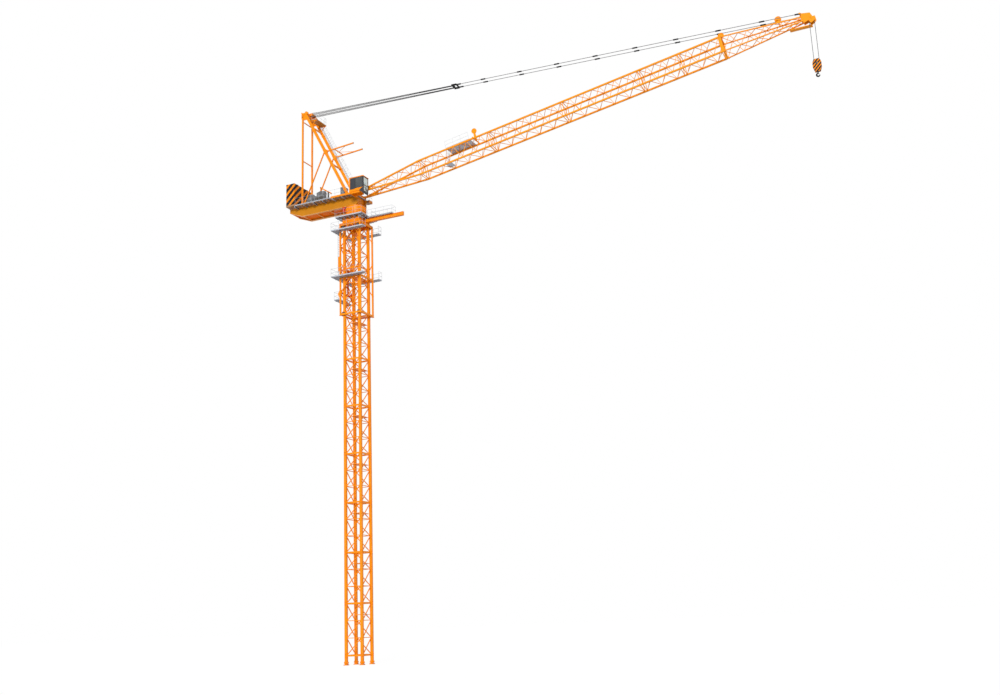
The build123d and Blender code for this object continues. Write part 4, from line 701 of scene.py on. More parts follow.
paint(striped_finish("ballast_warning_stripes", 0.49, 0.5), "counterweights")
slab_low, slab_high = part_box("counterweights")
slab_count, slab_gap = 5, 0.006
slab_pitch = (slab_high.x - slab_low.x + slab_gap) / slab_count
half_turn = [math.pi * k / 8 for k in range(9)]
eye_radius = 0.05
eyes = Shape()
for i in range(slab_count):
    x = slab_low.x + slab_pitch * (i + 0.5) - slab_gap / 2
    for side in SIDES:
        hoop = [(eye_radius, -0.01)]
        hoop += [(eye_radius * math.cos(t), 0.02 + eye_radius * math.sin(t)) for t in half_turn]
        hoop.append((-eye_radius, -0.01))
        eyes.bent([(x, side * 0.55 + dy, slab_high.z + dz) for dy, dz in hoop], 0.012, 8)
        for z in (slab_low.z + 0.3, slab_high.z - 0.3):
            eyes.disc((x, side * slab_high.y, z), (0, side, 0), 0.028, 0.016, 6)
eyes.piece("ballast_lifting_eyes", "upperworks", dark_steel)
plate = 0.006
x0, x1, z0, z1 = slab_low.x - plate, slab_high.x + plate, slab_low.z - plate, slab_low.z + 0.11
tray = Shape()
for y0, y1 in ((slab_low.y - plate, slab_low.y), (slab_high.y, slab_high.y + plate)):
    tray.block((x0, y0, z0), (x1, y1, z1))
tray.block((x0, slab_low.y, z0), (slab_low.x, slab_high.y, z1))
tray.block((slab_low.x, slab_low.y, z0), (slab_high.x, slab_high.y, slab_low.z - 0.001))
tray.piece("ballast_tray", "upperworks", rust_brown)

# Gantry: two leaning box legs, two upright ties behind, braces, and a cross head for the luffing sheaves.
# Feet and head are pinned in welded lugs; a hooped ladder climbs the far leg to a small railed platform.
paint(orange, "gantry_front_legs", "gantry_rear_ties", "gantry_cross_bars", "gantry_braces", "gantry_head",
      "jib_stops")
# The gantry platform takes the darker amber copy: painted shade on its underside.
paint(amber_painted_shade, "gantry_platform")
ties_low, ties_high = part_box("gantry_rear_ties")
half_gantry = ties_high.y - 0.045
leg_foot = Vector((-0.19, 0, deck_top))
leg_head = Vector((-3.59, 0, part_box("gantry_front_legs")[1].z))
leg_along = (leg_head - leg_foot).normalized()
leg_normal = Vector((leg_along.z, 0, -leg_along.x))
tie_pin_x = -3.82
gantry_trim = Shape()
gantry_pins = Shape()
for side in SIDES:
    y = side * half_gantry
    for at, size in ((0.0, 0.16), (2.9, 0.10), (3.85, 0.36), (5.95, 0.10)):
        middle = leg_foot + leg_along * at + Vector((0, y, 0))
        start = middle - leg_along * size * 0.2 if at else middle
        gantry_trim.bar(start, middle + leg_along * size, 0.136, 0.20, up=leg_normal)
    for x in (ties_low.x - 0.0175, ties_high.x + 0.0175):
        gantry_trim.lump((x, y, deck_top + 0.13), (0.025, 0.14, 0.26))
        gantry_trim.lump((x, y, ties_high.z - 0.15), (0.025, 0.12, 0.30))
    gantry_trim.lump((leg_foot.x, y, deck_top + 0.015), (0.32, 0.20, 0.03))
    gantry_trim.block((ties_low.x - 0.06, y - 0.10, deck_top),
                      (ties_high.x + 0.10, y + 0.10, deck_top + 0.025))
    for z in (deck_top + 0.15, ties_high.z - 0.16):
        gantry_pins.pin((tie_pin_x, y, z), 0.085, 0.028, 16)
    gantry_pins.pin(leg_foot + leg_along * 0.1 + Vector((0, y, 0)), 0.09, 0.035, 16)
gantry_trim.piece("gantry_collars", "upperworks", orange, bevel=0.005)
gantry_pins.piece("gantry_pins", "upperworks", dark_steel)

rung_line = Vector((0, half_gantry, 0)) + leg_normal * 0.19
climb_foot = leg_foot + rung_line + leg_along * 0.15
climb_head = leg_head + rung_line - leg_along * 0.62
hoop_count, hoop_start, hoop_end = 13, 0.25, 0.98
hoop_half, hoop_depth = 0.17, 0.30
hoop = [Vector((0, hoop_half * math.cos(t), 0)) + leg_normal * hoop_depth * math.sin(t) for t in half_turn]
gantry_climb = Shape()
ladder(gantry_climb, climb_foot, climb_head, width=0.22)
for i in range(hoop_count):
    middle = climb_foot.lerp(climb_head, hoop_start + (hoop_end - hoop_start) * i / (hoop_count - 1))
    gantry_climb.bent([middle + p for p in hoop], 0.005, 5)
low_end, high_end = climb_foot.lerp(climb_head, hoop_start), climb_foot.lerp(climb_head, hoop_end)
for strap in (hoop[2], hoop[4], hoop[6]):
    gantry_climb.tube(low_end + strap, high_end + strap, 0.004, 5)
gantry_climb.piece("gantry_hooped_ladder", "upperworks", zinc)

head_walk_low, head_walk_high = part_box("gantry_platform")
x1, y0, y1 = head_walk_high.x - edge_inset, head_walk_low.y + edge_inset, head_walk_high.y - edge_inset
head_line = [(head_walk_low.x + 0.14, y0), (x1, y0), (x1, y1), (head_walk_low.x + 0.32, y1)]
head_rails = Shape()
handrail(head_rails, head_line, head_walk_high.z, spacing=0.5)
head_rails.piece("gantry_platform_rails", "upperworks", zinc)
head_step = Shape()
for y in (-0.56, 0.56):
    foot = leg_head - leg_along * 1.05 + leg_normal * 0.085 + Vector((0, y, 0))
    head_step.bar((head_walk_high.x - 0.06, y, head_walk_low.z), foot, 0.03, 0.04)
    z = head_walk_low.z - 0.025
    head_step.bar((head_walk_low.x + 0.1, y, z), (head_walk_high.x, y, z), 0.04, 0.05)
head_step.piece("gantry_platform_braces", "upperworks", orange)

# Luffing sheaves on the cross head: turned and grooved steel wheels on one axle, under a welded cover.
# Each wheel has a deep rope groove, a dished web and a hub.


def joint_at(name):
    """Where a joint stands at rest."""
    return Vector([j["pos_m"] for j in frame["joints"] if j["name"] == name][0])


def grooved_wheel(shape, centre, radius, width, hub):
    """A sheave: rim with a rope groove, dished web and hub."""
    half = width / 2
    web = half * 0.45
    groove = width * 0.55
    right = [(half, hub * 0.5), (half, hub), (web, hub * 1.1), (web, radius * 0.80), (half, radius * 0.84),
             (half, radius), (half * 0.7, radius), (half * 0.2, radius - groove)]
    shape.turned([(-a, r) for a, r in right] + right[::-1], centre, ACROSS, 36, closed=True)


axle_x, _, axle_z = joint_at("rope_swing")
sheave_low, sheave_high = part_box("gantry_sheaves")
luffing_wheels = Shape()
for y in (-0.11, 0.0, 0.11):
    grooved_wheel(luffing_wheels, (axle_x, y, axle_z), (sheave_high.z - sheave_low.z) / 2, 0.046, 0.05)
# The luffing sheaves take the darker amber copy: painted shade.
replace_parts(luffing_wheels.piece("luffing_sheaves", "upperworks", amber_painted_shade), "gantry_sheaves")
horn = ((-0.50, -0.12), (-0.54, 0.06), (-0.50, 0.09), (-0.40, 0.0), (-0.02, 0.0), (-0.02, -0.12))
head_cover = Shape()
for side in SIDES:
    cap = [(0, 0.06), (side * 0.02, 0.06), (side * 0.025, 0.045)]
    head_cover.turned(cap, (axle_x, side * 0.22, axle_z), ACROSS, 24)
    head_cover.side_plate([(axle_x + dx, axle_z + dz) for dx, dz in horn], side * 0.50, side * 0.625)
    head_cover.pin((axle_x - 0.14, side * 0.5625, axle_z - 0.03), 0.0675, 0.12, 28)
head_cover.piece("gantry_head_lobes", "upperworks", orange, bevel=0.004)

# Jib stops: two buffer arms on the gantry's front that catch the jib if it is thrown back.
# Round bars cross-brace them, and each arm ends in a rubber-faced pad.
rubber = mottled("black_rubber", "black_paint", 0.7, 30.0, ((0.014, 0.014, 0.014), (0.030, 0.029, 0.028)),
                 grain=(120.0, 0.2, 0.002))
stop_low, stop_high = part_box("jib_stops")
stop_rise, arm_half = 0.15, 0.035
stop_slope = stop_rise / (stop_high.x - stop_low.x)


def stop_point(x, y):
    """A point on the arms' centre lines, or between them."""
    return Vector((x, y, stop_low.z + arm_half + stop_slope * (x - stop_low.x)))


stop_bracing = Shape()
pads = Shape()
bar_x = stop_low.x + 0.6
for side in SIDES:
    stop_bracing.tube(stop_point(bar_x, 0), stop_point(bar_x + 0.88, side * 0.53), 0.014, 8)
    root = stop_point(stop_low.x + 0.06, side * half_gantry)
    stop_bracing.lump(root - Vector((0.05, 0, 0.01)), (0.14, 0.15, 0.22))
    pad = stop_point(stop_high.x, side * half_gantry)
    stop_bracing.lump(pad - Vector((0.015, 0, 0)), (0.03, 0.09, 0.09))
    pads.turned([(0, 0.030), (0.008, 0.030), (0.012, 0.025)], pad, (1, 0, 0), 20)
stop_bracing.piece("jib_stop_bracing", "upperworks", orange, bevel=0.004)
pads.piece("jib_stop_pads", "upperworks", rubber)

# Luffing winch: a grooved drum full of rope between two stands, with gearbox, finned motor and brake.
# Drum and machines wear grey enamel, the brake gear dark steel. A small service arm stands in front.
enamel = mottled("grey_machine_enamel", "machine_grey", 0.4, 8.0, ((0.21, 0.215, 0.225), (0.12, 0.123, 0.13)),
                 (0.35, 0.25), (70.0, 0.08, 0.003), coat=0.1)
paint(enamel, "winch_stands", "winch_motor", "control_cabinet")
winch_low, winch_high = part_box("winch_drum")
winch_x = (winch_low.x + winch_high.x) / 2
winch_z = (winch_low.z + winch_high.z) / 2
flange_radius, flange_thick, drum_bore = (winch_high.z - winch_low.z) / 2, 0.03, 0.05
rope_pitch, rope_root = 0.02, 0.295
rope_low, rope_high = winch_low.y + flange_thick, winch_high.y - flange_thick
profile = [(winch_low.y, drum_bore), (winch_low.y, flange_radius), (rope_low, flange_radius)]
for i in range(int((rope_high - rope_low) / rope_pitch)):
    for step, rise in ((0.0, 0.0), (0.25, 0.008), (0.5, 0.011), (0.75, 0.008)):
        profile.append((rope_low + (i + step) * rope_pitch, rope_root + rise))
profile += [(rope_high, rope_root), (rope_high, flange_radius), (winch_high.y, flange_radius),
            (winch_high.y, drum_bore)]
drum = Shape()
drum.turned(profile, (winch_x, 0, winch_z), ACROSS, 40, closed=True)
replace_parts(drum.piece("winch_drum_with_rope", "upperworks", enamel), "winch_drum")
motor_low, motor_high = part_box("winch_motor")
motor_y = (motor_low.y + motor_high.y) / 2
motor_r = (motor_high.y - motor_low.y) / 2
motor_z = motor_high.z - motor_r
gear_y = winch_low.y - 0.17
fin_count, fin_pitch = 18, 0.018
machines = Shape()
for i in range(fin_count):
    fin = (motor_low.x + 0.10 + i * fin_pitch, motor_y, motor_z)
    machines.disc(fin, (1, 0, 0), motor_r + 0.022, 0.007, 32)
end_bell = [(0, motor_r + 0.01), (0.07, motor_r + 0.01), (0.085, motor_r - 0.03)]
machines.turned(end_bell, (motor_high.x - 0.06, motor_y, motor_z), (1, 0, 0), 32)
machines.lump((motor_low.x + 0.24, motor_y, motor_high.z + 0.025), (0.16, 0.12, 0.05))
machines.block((winch_x - 0.34, gear_y, deck_top), (winch_x + 0.22, winch_low.y - 0.045, winch_z + 0.14))
machines.turned([(0, 0.13), (0.04, 0.13), (0.06, 0.09)], (winch_x, gear_y, winch_z), (0, -1, 0), 28)
machines.disc((winch_x + 0.55, 0.02, deck_top + 0.16), ACROSS, 0.10, 0.20, 28)
machines.lump((winch_x + 0.55, 0.12, deck_top + 0.04), (0.16, 0.16, 0.08))
machines.piece("winch_gearbox_and_fins", "upperworks", enamel, bevel=0.005)
dark_gear = Shape()
for x0, y0, z0, x1, y1, z1 in (
        (motor_high.x + 0.03, motor_low.y + 0.04, 0, motor_high.x + 0.30, motor_high.y - 0.04, 0.36),
        (motor_high.x + 0.22, motor_y - 0.04, 0.36, motor_high.x + 0.30, motor_y + 0.04, 0.80),
        (motor_low.x + 0.03, motor_low.y - 0.012, 0.05, motor_high.x - 0.03, motor_low.y, 0.55),
        (motor_low.x - 0.10, motor_low.y + 0.02, 0, motor_low.x, motor_high.y - 0.02, 0.62)):
    dark_gear.block((x0, y0, deck_top + z0), (x1, y1, deck_top + z1))
dark_gear.piece("winch_brake_and_resistors", "upperworks", dark_steel, bevel=0.004)
cabinet_low, cabinet_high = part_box("control_cabinet")
door, louvres = 0.012, 6
front = cabinet_high.x + door
cabinet = Shape()
for side in SIDES:
    cabinet.block((cabinet_high.x, side * 0.01, cabinet_low.z + 0.05),
                  (front, side * (cabinet_high.y - 0.015), cabinet_high.z - 0.03))
    cabinet.lump((front + 0.007, side * 0.03, cabinet_low.z + 0.35), (0.014, 0.012, 0.10))
    for i in range(louvres):
        z = cabinet_high.z - 0.096 - i * 0.02
        cabinet.lump((front + 0.003, side * 0.12, z), (0.006, 0.10, 0.008))
cabinet.block((cabinet_low.x - 0.02, cabinet_low.y - 0.02, cabinet_high.z),
              (cabinet_high.x + 0.03, cabinet_high.y + 0.02, cabinet_high.z + 0.018))
cabinet.piece("control_cabinet_doors", "upperworks", enamel, bevel=0.003)
davit_y = 0.44
davit_top = Vector((-3.02, davit_y, deck_top + 1.54))
davit_tip = Vector((-2.18, davit_y, deck_top + 0.97))
line_end = davit_tip - Vector((0, 0, 0.26))
davit = Shape()
for x in (-3.24, -2.86):
    davit.bar((x, davit_y, deck_top), davit_top, 0.055, 0.055, up=(1, 0, 0))
    davit.lump((x, davit_y, deck_top + 0.01), (0.14, 0.12, 0.02))
davit.bar(davit_top - Vector((0.06, 0, -0.04)), davit_tip, 0.06, 0.075)
davit.pin(davit_top, 0.03, 0.05, 18)
davit.piece("service_davit", "upperworks", orange, bevel=0.004)
davit_line = Shape()
davit_line.tube(davit_tip, line_end, 0.010, 8)
davit_line.turned([(0, 0.024), (-0.05, 0.030), (-0.10, 0.012)], line_end, UP, 12)
davit_line.piece("davit_line", "upperworks", zinc)

# Operator's cab: a welded steel box, hollow, with big panes in rubber seals, hung at the deck's right front.
# Dark panels cover the wall behind the side window, the window pillars and the chin; a visor is in front.
paint(orange, "cab_shell")
cab_low, cab_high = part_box("cab_shell")
pane_low, pane_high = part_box("cab_windows")
glass, shader, place = finish("tinted_cab_glass_with_painted_reflection", "glass", 0.06, specular=0.7)
facing = Socket(place.tree, place.output.node.outputs["Normal"]).axes()[0]
side_tint = place.noise(2.5).between((0.030, 0.036, 0.040), (0.075, 0.085, 0.085))
# The front panes carry a painted reflection: patches of pale cyan sky over dark glass. The side panes keep a
# dark tint that varies at random.
front_painted_reflection = place.noise(2.6, 2.0).ramp(0.40, 0.52).between((0.10, 0.15, 0.16), (0.66, 0.80, 0.80))
(facing > 0.5).between(side_tint, front_painted_reflection).feed(shader, "Base Color")
(0.04 + place.noise(20.0) * 0.05).feed(shader, "Roughness")
shader.inputs["Alpha"].default_value = 0.92
paint(glass, "cab_windows")
cab_floor = deck_top - 0.10
sill = cab_floor + 0.19
side_x0, side_x1 = cab_high.x - 0.61, cab_high.x - 0.05
front_y0, front_y1 = cab_low.y + 0.05, cab_high.y - 0.05
front_x = cab_high.x + 0.004
ahead = (1, 0, 0)
seal_width, seal_depth = 0.022, 0.014
seals = Shape()
side_panes = [[(x, y, z) for x, z in
               ((side_x0, sill), (side_x1, sill), (side_x1, pane_high.z), (side_x0, pane_high.z))]
              for y in (cab_low.y - 0.003, cab_high.y + 0.003)]
front_pane = [(front_x, y, z) for y, z in
              ((front_y0, pane_low.z), (front_y1, pane_low.z),
               (front_y1, pane_high.z), (front_y0, pane_high.z))]
for corners, out in ((side_panes[0], ACROSS), (side_panes[1], ACROSS), (front_pane, ahead)):
    for a, b in zip(corners, corners[1:] + corners[:1]):
        seals.bar(a, b, seal_width, seal_depth, up=out)
seals.bar((front_x, front_y0, sill + 0.16), (front_x, front_y1, sill + 0.16), 0.018, seal_depth, up=ahead)
wiper = [(front_x + 0.012, front_y0 + dy, pane_low.z + dz) for dy, dz in ((0.15, 0.03), (0.30, 0.40))]
seals.bar(*wiper, 0.012, 0.010, up=ahead)
seals.piece("cab_window_seals", "upperworks", rubber)
dark_panel = mottled("dark_cab_panel", "black_paint", 0.18, 4.0,
                     ((0.022, 0.026, 0.034), (0.036, 0.042, 0.052)), specular=0.4)
skin = 0.006
nose_z = pane_low.z - 0.06
panel_z0, panel_z1 = sill - 0.05, pane_high.z + 0.01
chin = ((-0.30, cab_floor), (-0.07, cab_low.z), (0, nose_z), (0.007, nose_z - 0.004),
        (-0.068, cab_low.z - 0.008), (-0.306, cab_floor - 0.005))
side_chin = ((-0.30, cab_floor + 0.01), (-0.07, cab_low.z + 0.005), (0, nose_z), (0, panel_z0),
             (-0.10, panel_z0))
panels = Shape()
panels.side_plate([(cab_high.x + dx, z) for dx, z in chin], cab_low.y, cab_high.y)
for y in (cab_low.y - skin, cab_high.y):
    panels.block((cab_low.x + 0.08, y, panel_z0), (side_x0 - 0.01, y + skin, panel_z1))
    panels.block((side_x1, y, panel_z0), (cab_high.x, y + skin, panel_z1))
    panels.side_plate([(cab_high.x + dx, z) for dx, z in side_chin], y, y + skin)
for y0, y1, top in ((cab_low.y, front_y0, pane_high.z), (front_y1, cab_high.y, pane_high.z),
                    (front_y0, front_y1, pane_low.z)):
    panels.block((cab_high.x, y0, nose_z), (cab_high.x + skin, y1, top))
panels.piece("cab_dark_panels", "upperworks", dark_panel)
rim_z0, rim_z1 = cab_high.z - 0.02, cab_high.z + 0.015
visor = ((0, -0.05), (0.05, -0.06), (0.05, -0.03), (0, 0.01))
roof = Shape()
for y0, y1 in ((cab_low.y - 0.01, cab_low.y + 0.02), (cab_high.y - 0.02, cab_high.y + 0.01)):
    roof.block((cab_low.x - 0.01, y0, rim_z0), (cab_high.x + 0.01, y1, rim_z1))
roof.block((cab_low.x - 0.01, cab_low.y + 0.02, rim_z0), (cab_low.x + 0.02, cab_high.y - 0.02, rim_z1))
roof.side_plate([(cab_high.x + dx, cab_high.z + dz) for dx, dz in visor], cab_low.y, cab_high.y)
roof.block((cab_low.x - 0.012, cab_low.y + 0.12, cab_floor + 0.06),
           (cab_low.x, cab_high.y - 0.14, cab_high.z - 0.08))
roof.piece("cab_roof_rim_and_door", "upperworks", orange, bevel=0.004)
cab_rails = Shape()
grip = ((-0.012, 0.50), (-0.06, 0.54), (-0.06, 0.80), (-0.012, 0.84))
cab_rails.bent([(cab_low.x + dx, cab_low.y + 0.07, cab_floor + dz) for dx, dz in grip], 0.010, 8)
cab_rails.piece("cab_grab_rail", "upperworks", zinc)

# Jib: a lattice box of four chord tubes with zigzag bracing, in sections pinned end to end at twin frames.
# Each chord has forked lugs and pins at the joints; the foot section turns on two bored lugs on the deck.
jib_orange = orange_finish("jib_amber_paint", (0.94, 0.335, 0.004), (0.89, 0.300, 0.003))
paint(jib_orange, "jib_left_side", "jib_right_side", "jib_cross_bracing", "jib_tip_left_side",
      "jib_tip_right_side", "jib_tip_bracing", "jib_head", "guide_brackets", "tip_platform")
jib_angle = math.radians(9.6)
pivot = joint_at("luff")
raised = Matrix.Translation(pivot) @ Matrix.Rotation(-jib_angle, 4, "Y")
half_jib, half_depth, chord = 0.4825, 0.476, 0.09
jib_joints = (4.8, 9.8, 14.8, 19.8, 22.3, 24.8)
jib_lugs = Shape()
jib_pins = Shape()
for s in jib_joints:
    for side, top in CORNERS:
        y, n = side * half_jib, top * half_depth
        for shift in (-0.11, 0.11):
            jib_lugs.lump((s + shift, y, n), (0.06, 0.096, 0.096))
        jib_lugs.lump((s, y, n), (0.12, 0.04, 0.098))
        jib_pins.pin((s, y, n), 0.05, 0.018, 12)
jib_lugs.piece("jib_joint_lugs", "jib", jib_orange, bevel=0.006, place=raised)
jib_pins.piece("jib_joint_pins", "jib", jib_orange, place=raised)
foot_trim = Shape()
foot_pins = Shape()
for side in SIDES:
    y = side * half_jib
    for top in SIDES:
        cheek = ((0.10, 0.0), (1.1, top * 0.02), (1.1, top * 0.11))
        foot_trim.side_plate(cheek, y + side * 0.045, y + side * 0.051)
    foot_trim.disc((0, y + side * 0.05, 0), ACROSS, 0.10, side * 0.012, 24)
    pin_end = (pivot.x, y + side * 0.115, pivot.z)
    foot_pins.turned([(0, 0.055), (0.018, 0.055), (0.024, 0.045)], pin_end, (0, side, 0), 24)
foot_trim.piece("jib_foot_cheeks", "jib", jib_orange, place=raised)
foot_pins.piece("jib_foot_pins", "upperworks", dark_steel)

# Jib walkway: a plate platform on the upper chords before the first guide sheave, with a rail on each side.
# A short ladder leads down through the jib to a small rest step on the lower chords.
plate_zinc = mottled("zinc_plate", "grey_grating", 0.5, 5.0, ((0.52, 0.57, 0.66), (0.42, 0.46, 0.54)),
                     grain=(70.0, 0.1, 0.002), metallic=0.2)
paint(plate_zinc, "jib_platform")
platform_start, platform_end, platform_n = 6.8, 8.5, half_depth + chord / 2 + 0.03
jib_rails = Shape()
for side in SIDES:
    y = side * (half_jib - edge_inset)
    line = [(platform_start, y), (platform_end - 0.05, y)]
    handrail(jib_rails, line, platform_n, spacing=0.55, radius=0.005)
ladder(jib_rails, (6.55, 0.1, -half_depth + 0.06), (6.72, 0.1, platform_n + 0.02))
jib_rails.piece("jib_walkway_rails", "jib", zinc, place=raised)
rest_step = Shape()
rest_step.block((6.55, -half_jib + 0.05, -half_depth + 0.023), (6.95, half_jib - 0.25, -half_depth + 0.05))
rest_step.piece("jib_rest_step", "jib", plate_zinc, place=raised)

# Guide sheaves: grooved wheels between bracket cheeks on the jib's top that carry the hoist rope.
# Wheels and brackets are sprayed amber with the rest of the jib.
guide_wheels = Shape()
for s, n, radius in ((8.726, 1.222, 0.17), (24.87, 0.786, 0.18), (28.13, 0.360, 0.19)):
    grooved_wheel(guide_wheels, (s, 0, n), radius, 0.06, 0.05)
    guide_wheels.pin((s, 0, n), 0.058, 0.026, 16)
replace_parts(guide_wheels.piece("guide_wheels", "jib", jib_orange, place=raised), "guide_sheaves")

# Jib head: two shaped cheek plates at the tip with the hoist sheave between them and the pendant pin on top.
# A short service platform hangs under the tip on its left side.
tip = joint_at("hook_swing")
pendant_pin = joint_at("pendant_swing")
tip_low, tip_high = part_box("tip_sheave")
tip_wheel = Shape()
grooved_wheel(tip_wheel, tip, (tip_high.z - tip_low.z) / 2, 0.05, 0.06)
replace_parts(tip_wheel.piece("hoist_tip_sheave", "jib", dark_steel), "tip_sheave")
tip_trim = Shape()
for side in SIDES:
    boss = [(0, 0.07), (0.02, 0.07), (0.03, 0.05)]
    tip_trim.turned(boss, tip + Vector((0, side * 0.165, 0)), (0, side, 0), 24)
    tip_trim.disc(pendant_pin + Vector((0, side * 0.256, 0)), (0, side, 0), 0.05, 0.016, 6)
tip_trim.piece("jib_head_bosses", "jib", jib_orange)

# Pendants: pairs of drawn bars with forged eyes, linked by black sleeves, from jib head to floating block.
# The floating block has side plates and grooved sheaves for the luffing rope.
bright_wire, shader, place = finish("drawn_steel", "steel_rope", 0.38, metallic=0.75)
place.noise(12.0).between((0.24, 0.24, 0.245), (0.15, 0.15, 0.155)).feed(shader, "Base Color")
(0.30 + place.noise(30.0) * 0.25).feed(shader, "Roughness")
black_paint = mottled("black_paint", "black_paint", 0.5, 14.0, ((0.006, 0.006, 0.007), (0.018, 0.018, 0.018)),
                      (0.35, 0.2), detail=5.0, specular=0.12)
paint(bright_wire, "pendants")
paint(black_paint, "floating_block")
axle = Vector((axle_x, 0, axle_z))
pull = (axle - pendant_pin).normalized()
pendant_length, pendant_y = 21.57, 0.198
link_count, first_link, link_pitch = 8, 2.12, 2.51
sleeve, end_sleeve, half_sleeve = 0.066, 0.070, 0.16
sleeves = Shape()
for side in SIDES:
    root = pendant_pin + Vector((0, side * pendant_y, 0))
    for i in range(link_count):
        middle = root + pull * (first_link + link_pitch * i)
        sleeves.bar(middle - pull * half_sleeve, middle + pull * half_sleeve, sleeve, sleeve)
        for end in SIDES:
            sleeves.pin(middle + pull * 0.10 * end, 0.045, 0.014, 10)
    sleeves.bar(root - pull * 0.02, root + pull * 0.28, sleeve, sleeve)
    sleeves.bar(root + pull * (pendant_length - 0.3), root + pull * pendant_length, end_sleeve, end_sleeve)
sleeves.piece("pendant_sleeves", "pendant_line", black_paint, bevel=0.008)

# Luffing ropes: wire rope reeved several times between the floating block and the gantry's sheaves.
# Each fall is a strand-laid rope; they shorten towards the gantry as the jib rises.
rope_steel, shader, place = finish("laid_wire_rope", "steel_rope", 0.5, metallic=0.6)
x, y, z = place.axes()
lay = ((x * 0.9 + z * 1.2 + y * 3.0) / 0.045).fraction()
lay.between((0.10, 0.10, 0.104), (0.040, 0.040, 0.042)).feed(shader, "Base Color")
lay.bump(0.4, 0.004).feed(shader, "Normal")
block_reach = 21.855
block_axle = pendant_pin + pull * block_reach
block_groove, gantry_groove, fall_radius = 0.0843, 0.1043, 0.016
normal = Vector((-pull.z, 0, pull.x))
falls = Shape()
for share in (-1, 0, 1):
    for side in SIDES:
        start = block_axle + Vector((0, share * 0.055, 0)) + normal * side * block_groove
        end = axle + Vector((0, share * 0.11, 0)) + normal * side * gantry_groove
        falls.tube(start, end, fall_radius, 8)
rope_falls = falls.piece("luffing_rope_falls", "luffing_ropes", rope_steel)
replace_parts(rope_falls, "luffing_ropes")
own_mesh(rope_falls)

# Hoist rope: two falls of wire rope from the tip sheave to the hook block, always upright.
# They pay out from the tip as the block goes down.
hoist_low, hoist_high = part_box("hoist_rope_falls")
spacing = hoist_high.x - hoist_low.x - 0.018
stations = [hoist_high.z + (hoist_low.z - hoist_high.z) * i / 12 for i in range(13)]
hoist = Shape()
for side, strand in CORNERS:
    hoist.bent([(tip.x + side * spacing / 2, strand * 0.022, z) for z in stations], 0.012, 8)
hoist_falls = hoist.piece("hoist_rope", None, rope_steel)
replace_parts(hoist_falls, "hoist_rope_falls")
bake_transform(hoist_falls)

# Hook block: two striped cheek plates round a sheave, with a cross head below for the hook's shank.
# The hook is a forged, tapering bill with a sprung safety latch, painted black.
paint(striped_finish("block_warning_stripes", 0.21), "hook_block")
block_low, block_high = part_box("hook_block")
block_trim = Shape()
for side in SIDES:
    y = side * block_high.y
    hub = [(0, 0.07), (0.012, 0.07), (0.02, 0.05)]
    block_trim.turned(hub, (tip.x, y, hoist_low.z), (0, side, 0), 24)
    for dx, dz in ((-0.17, 0.10), (0.17, 0.10), (-0.17, -0.24), (0.17, -0.24), (-0.10, -0.44), (0.10, -0.44)):
        block_trim.disc((tip.x + dx, y, hoist_low.z + dz), (0, side, 0), 0.018, 0.010, 6)
block_trim.piece("hook_block_bolts", "hook_block", dark_steel)
bill_radius, bill_thick = 0.092, 0.043
bill_sweep, bill_steps, point_steps = 262, 22, 3
neck, swell = 0.036, 0.016
bill_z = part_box("hook")[0].z + bill_radius + bill_thick
bill_line = bill_radius * 0.98
shank_z = block_low.z
line = [(tip.x, 0, shank_z + dz) for dz in (0.045, -0.02, -0.06)]
radii = [neck, neck, 0.034]
for i in range(bill_steps + 1):
    turn = math.radians(90 + bill_sweep * i / bill_steps)
    thick = neck + swell * math.sin(math.pi * min(1.0, i / bill_steps * 1.15))
    if i >= bill_steps - point_steps:
        thick = 0.034 - 0.007 * (i - bill_steps + point_steps)
    line.append((tip.x + bill_line * math.cos(turn), 0, bill_z + bill_line * math.sin(turn)))
    radii.append(min(thick, bill_thick))
forged = Shape()
forged.bent(line, radii, 14)
forged.disc((tip.x, 0, shank_z - 0.002), UP, 0.05, -0.03, 6)
latch_root = (tip.x + 0.005, 0, bill_z + bill_radius - 0.03)
forged.bar(latch_root, (tip.x + bill_radius * 0.93, 0, bill_z + 0.02), 0.036, 0.010)
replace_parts(forged.piece("forged_hook", "hook", black_paint), "hook")

# Studio: a plain white floor and background with a broad soft key light beside the camera.
# The floor is white to the camera and to reflections, and keeps the crane's faint shadow.
floor_mesh = bpy.data.meshes.new("floor")
reach, floor_white = 900.0, 1.0455
floor_corners = [(-reach, -reach, 0), (reach, -reach, 0), (reach, reach, 0), (-reach, reach, 0)]
floor_mesh.from_pydata(floor_corners, [], [(0, 1, 2, 3)])
floor = bpy.data.objects.new("floor", floor_mesh)
bpy.context.scene.collection.objects.link(floor)
floor_material = bpy.data.materials.new("white_floor")
floor_material.use_nodes = True
floor_mesh.materials.append(floor_material)


def shown_rays(tree):
    """One for rays from the camera, through glass or off a gloss, and nought for the rest."""
    rays = tree.nodes.new("ShaderNodeLightPath").outputs
    kinds = ("Is Camera Ray", "Is Glossy Ray", "Is Transmission Ray")
    seen, mirrored, through = [Socket(tree, rays[kind]) for kind in kinds]
    return seen + mirrored + through


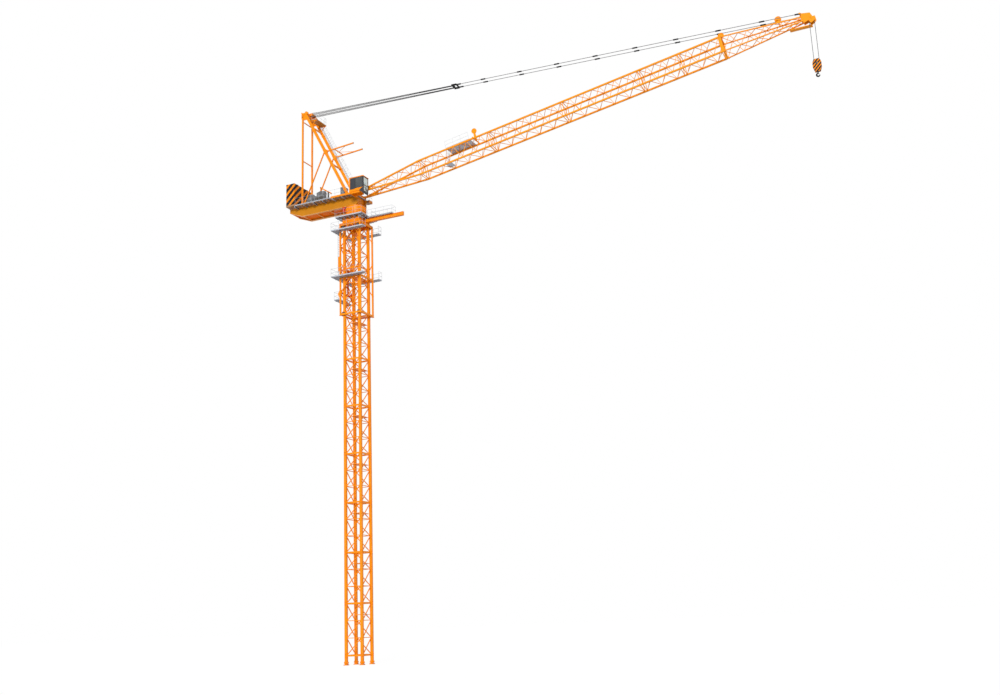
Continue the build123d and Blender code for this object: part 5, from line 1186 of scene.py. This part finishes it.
tree = floor_material.node_tree
diffuse = tree.nodes["Principled BSDF"]
diffuse.inputs["Base Color"].default_value = (0.9, 0.9, 0.9, 1.0)
diffuse.inputs["Roughness"].default_value = 0.9
share = shown_rays(tree) * 0.9
glow = share.add("ShaderNodeEmission", {}, {"Strength": floor_white})
blend = share.add("ShaderNodeMixShader", {}, {0: share, 1: Socket(tree, diffuse.outputs[0]), 2: glow})
tree.links.new(blend.output, tree.nodes["Material Output"].inputs["Surface"])

world = bpy.data.worlds.new("studio")
world.use_nodes = True
bpy.context.scene.world = world
tree = world.node_tree
fill = tree.nodes["Background"]
fill.inputs["Color"].default_value = (1.0, 0.985, 0.96, 1.0)
fill.inputs["Strength"].default_value = 0.45
shown = shown_rays(tree)
white = shown.add("ShaderNodeBackground", {}, {"Color": (1, 1, 1, 1), "Strength": 1.0})
sky = shown.add("ShaderNodeMixShader", {}, {0: shown, 1: Socket(tree, fill.outputs[0]), 2: white})
tree.links.new(sky.output, tree.nodes["World Output"].inputs["Surface"])

key = bpy.data.lights.new("key", "SUN")
key.energy = 2.5
key.angle = math.radians(16)
key_lamp = bpy.data.objects.new("key", key)
key_lamp.rotation_euler = Vector((0.34, -0.87, 0.25)).to_track_quat("Z", "Y").to_euler()
bpy.context.scene.collection.objects.link(key_lamp)

# Camera: low on the ground in front and to the right, tilted up at the crane, as the picture was taken.
# Its place, turn and lens are fitted to the joints of the mast and of the jib.
lens_px, image_width = 1102.63, 1000.0
eye = (36.06, -58.12, 2.048)
yaw, pitch, roll = 0.4224, 0.2451, -0.0396
ahead = Vector((-math.sin(yaw) * math.cos(pitch), math.cos(yaw) * math.cos(pitch), math.sin(pitch)))
right = Vector((math.cos(yaw), math.sin(yaw), 0))
above = right.cross(ahead)
across = right * math.cos(roll) + above * math.sin(roll)
upward = above * math.cos(roll) - right * math.sin(roll)
camera = bpy.data.cameras.new("camera")
camera.sensor_width = 36.0
camera.lens = lens_px / image_width * camera.sensor_width
camera.clip_end = 2000.0
viewer = bpy.data.objects.new("camera", camera)
viewer.matrix_world = Matrix.Translation(eye) @ Matrix((across, upward, -ahead)).transposed().to_4x4()
bpy.context.scene.collection.objects.link(viewer)
bpy.context.scene.camera = viewer
bpy.context.scene.view_settings.view_transform = "Standard"
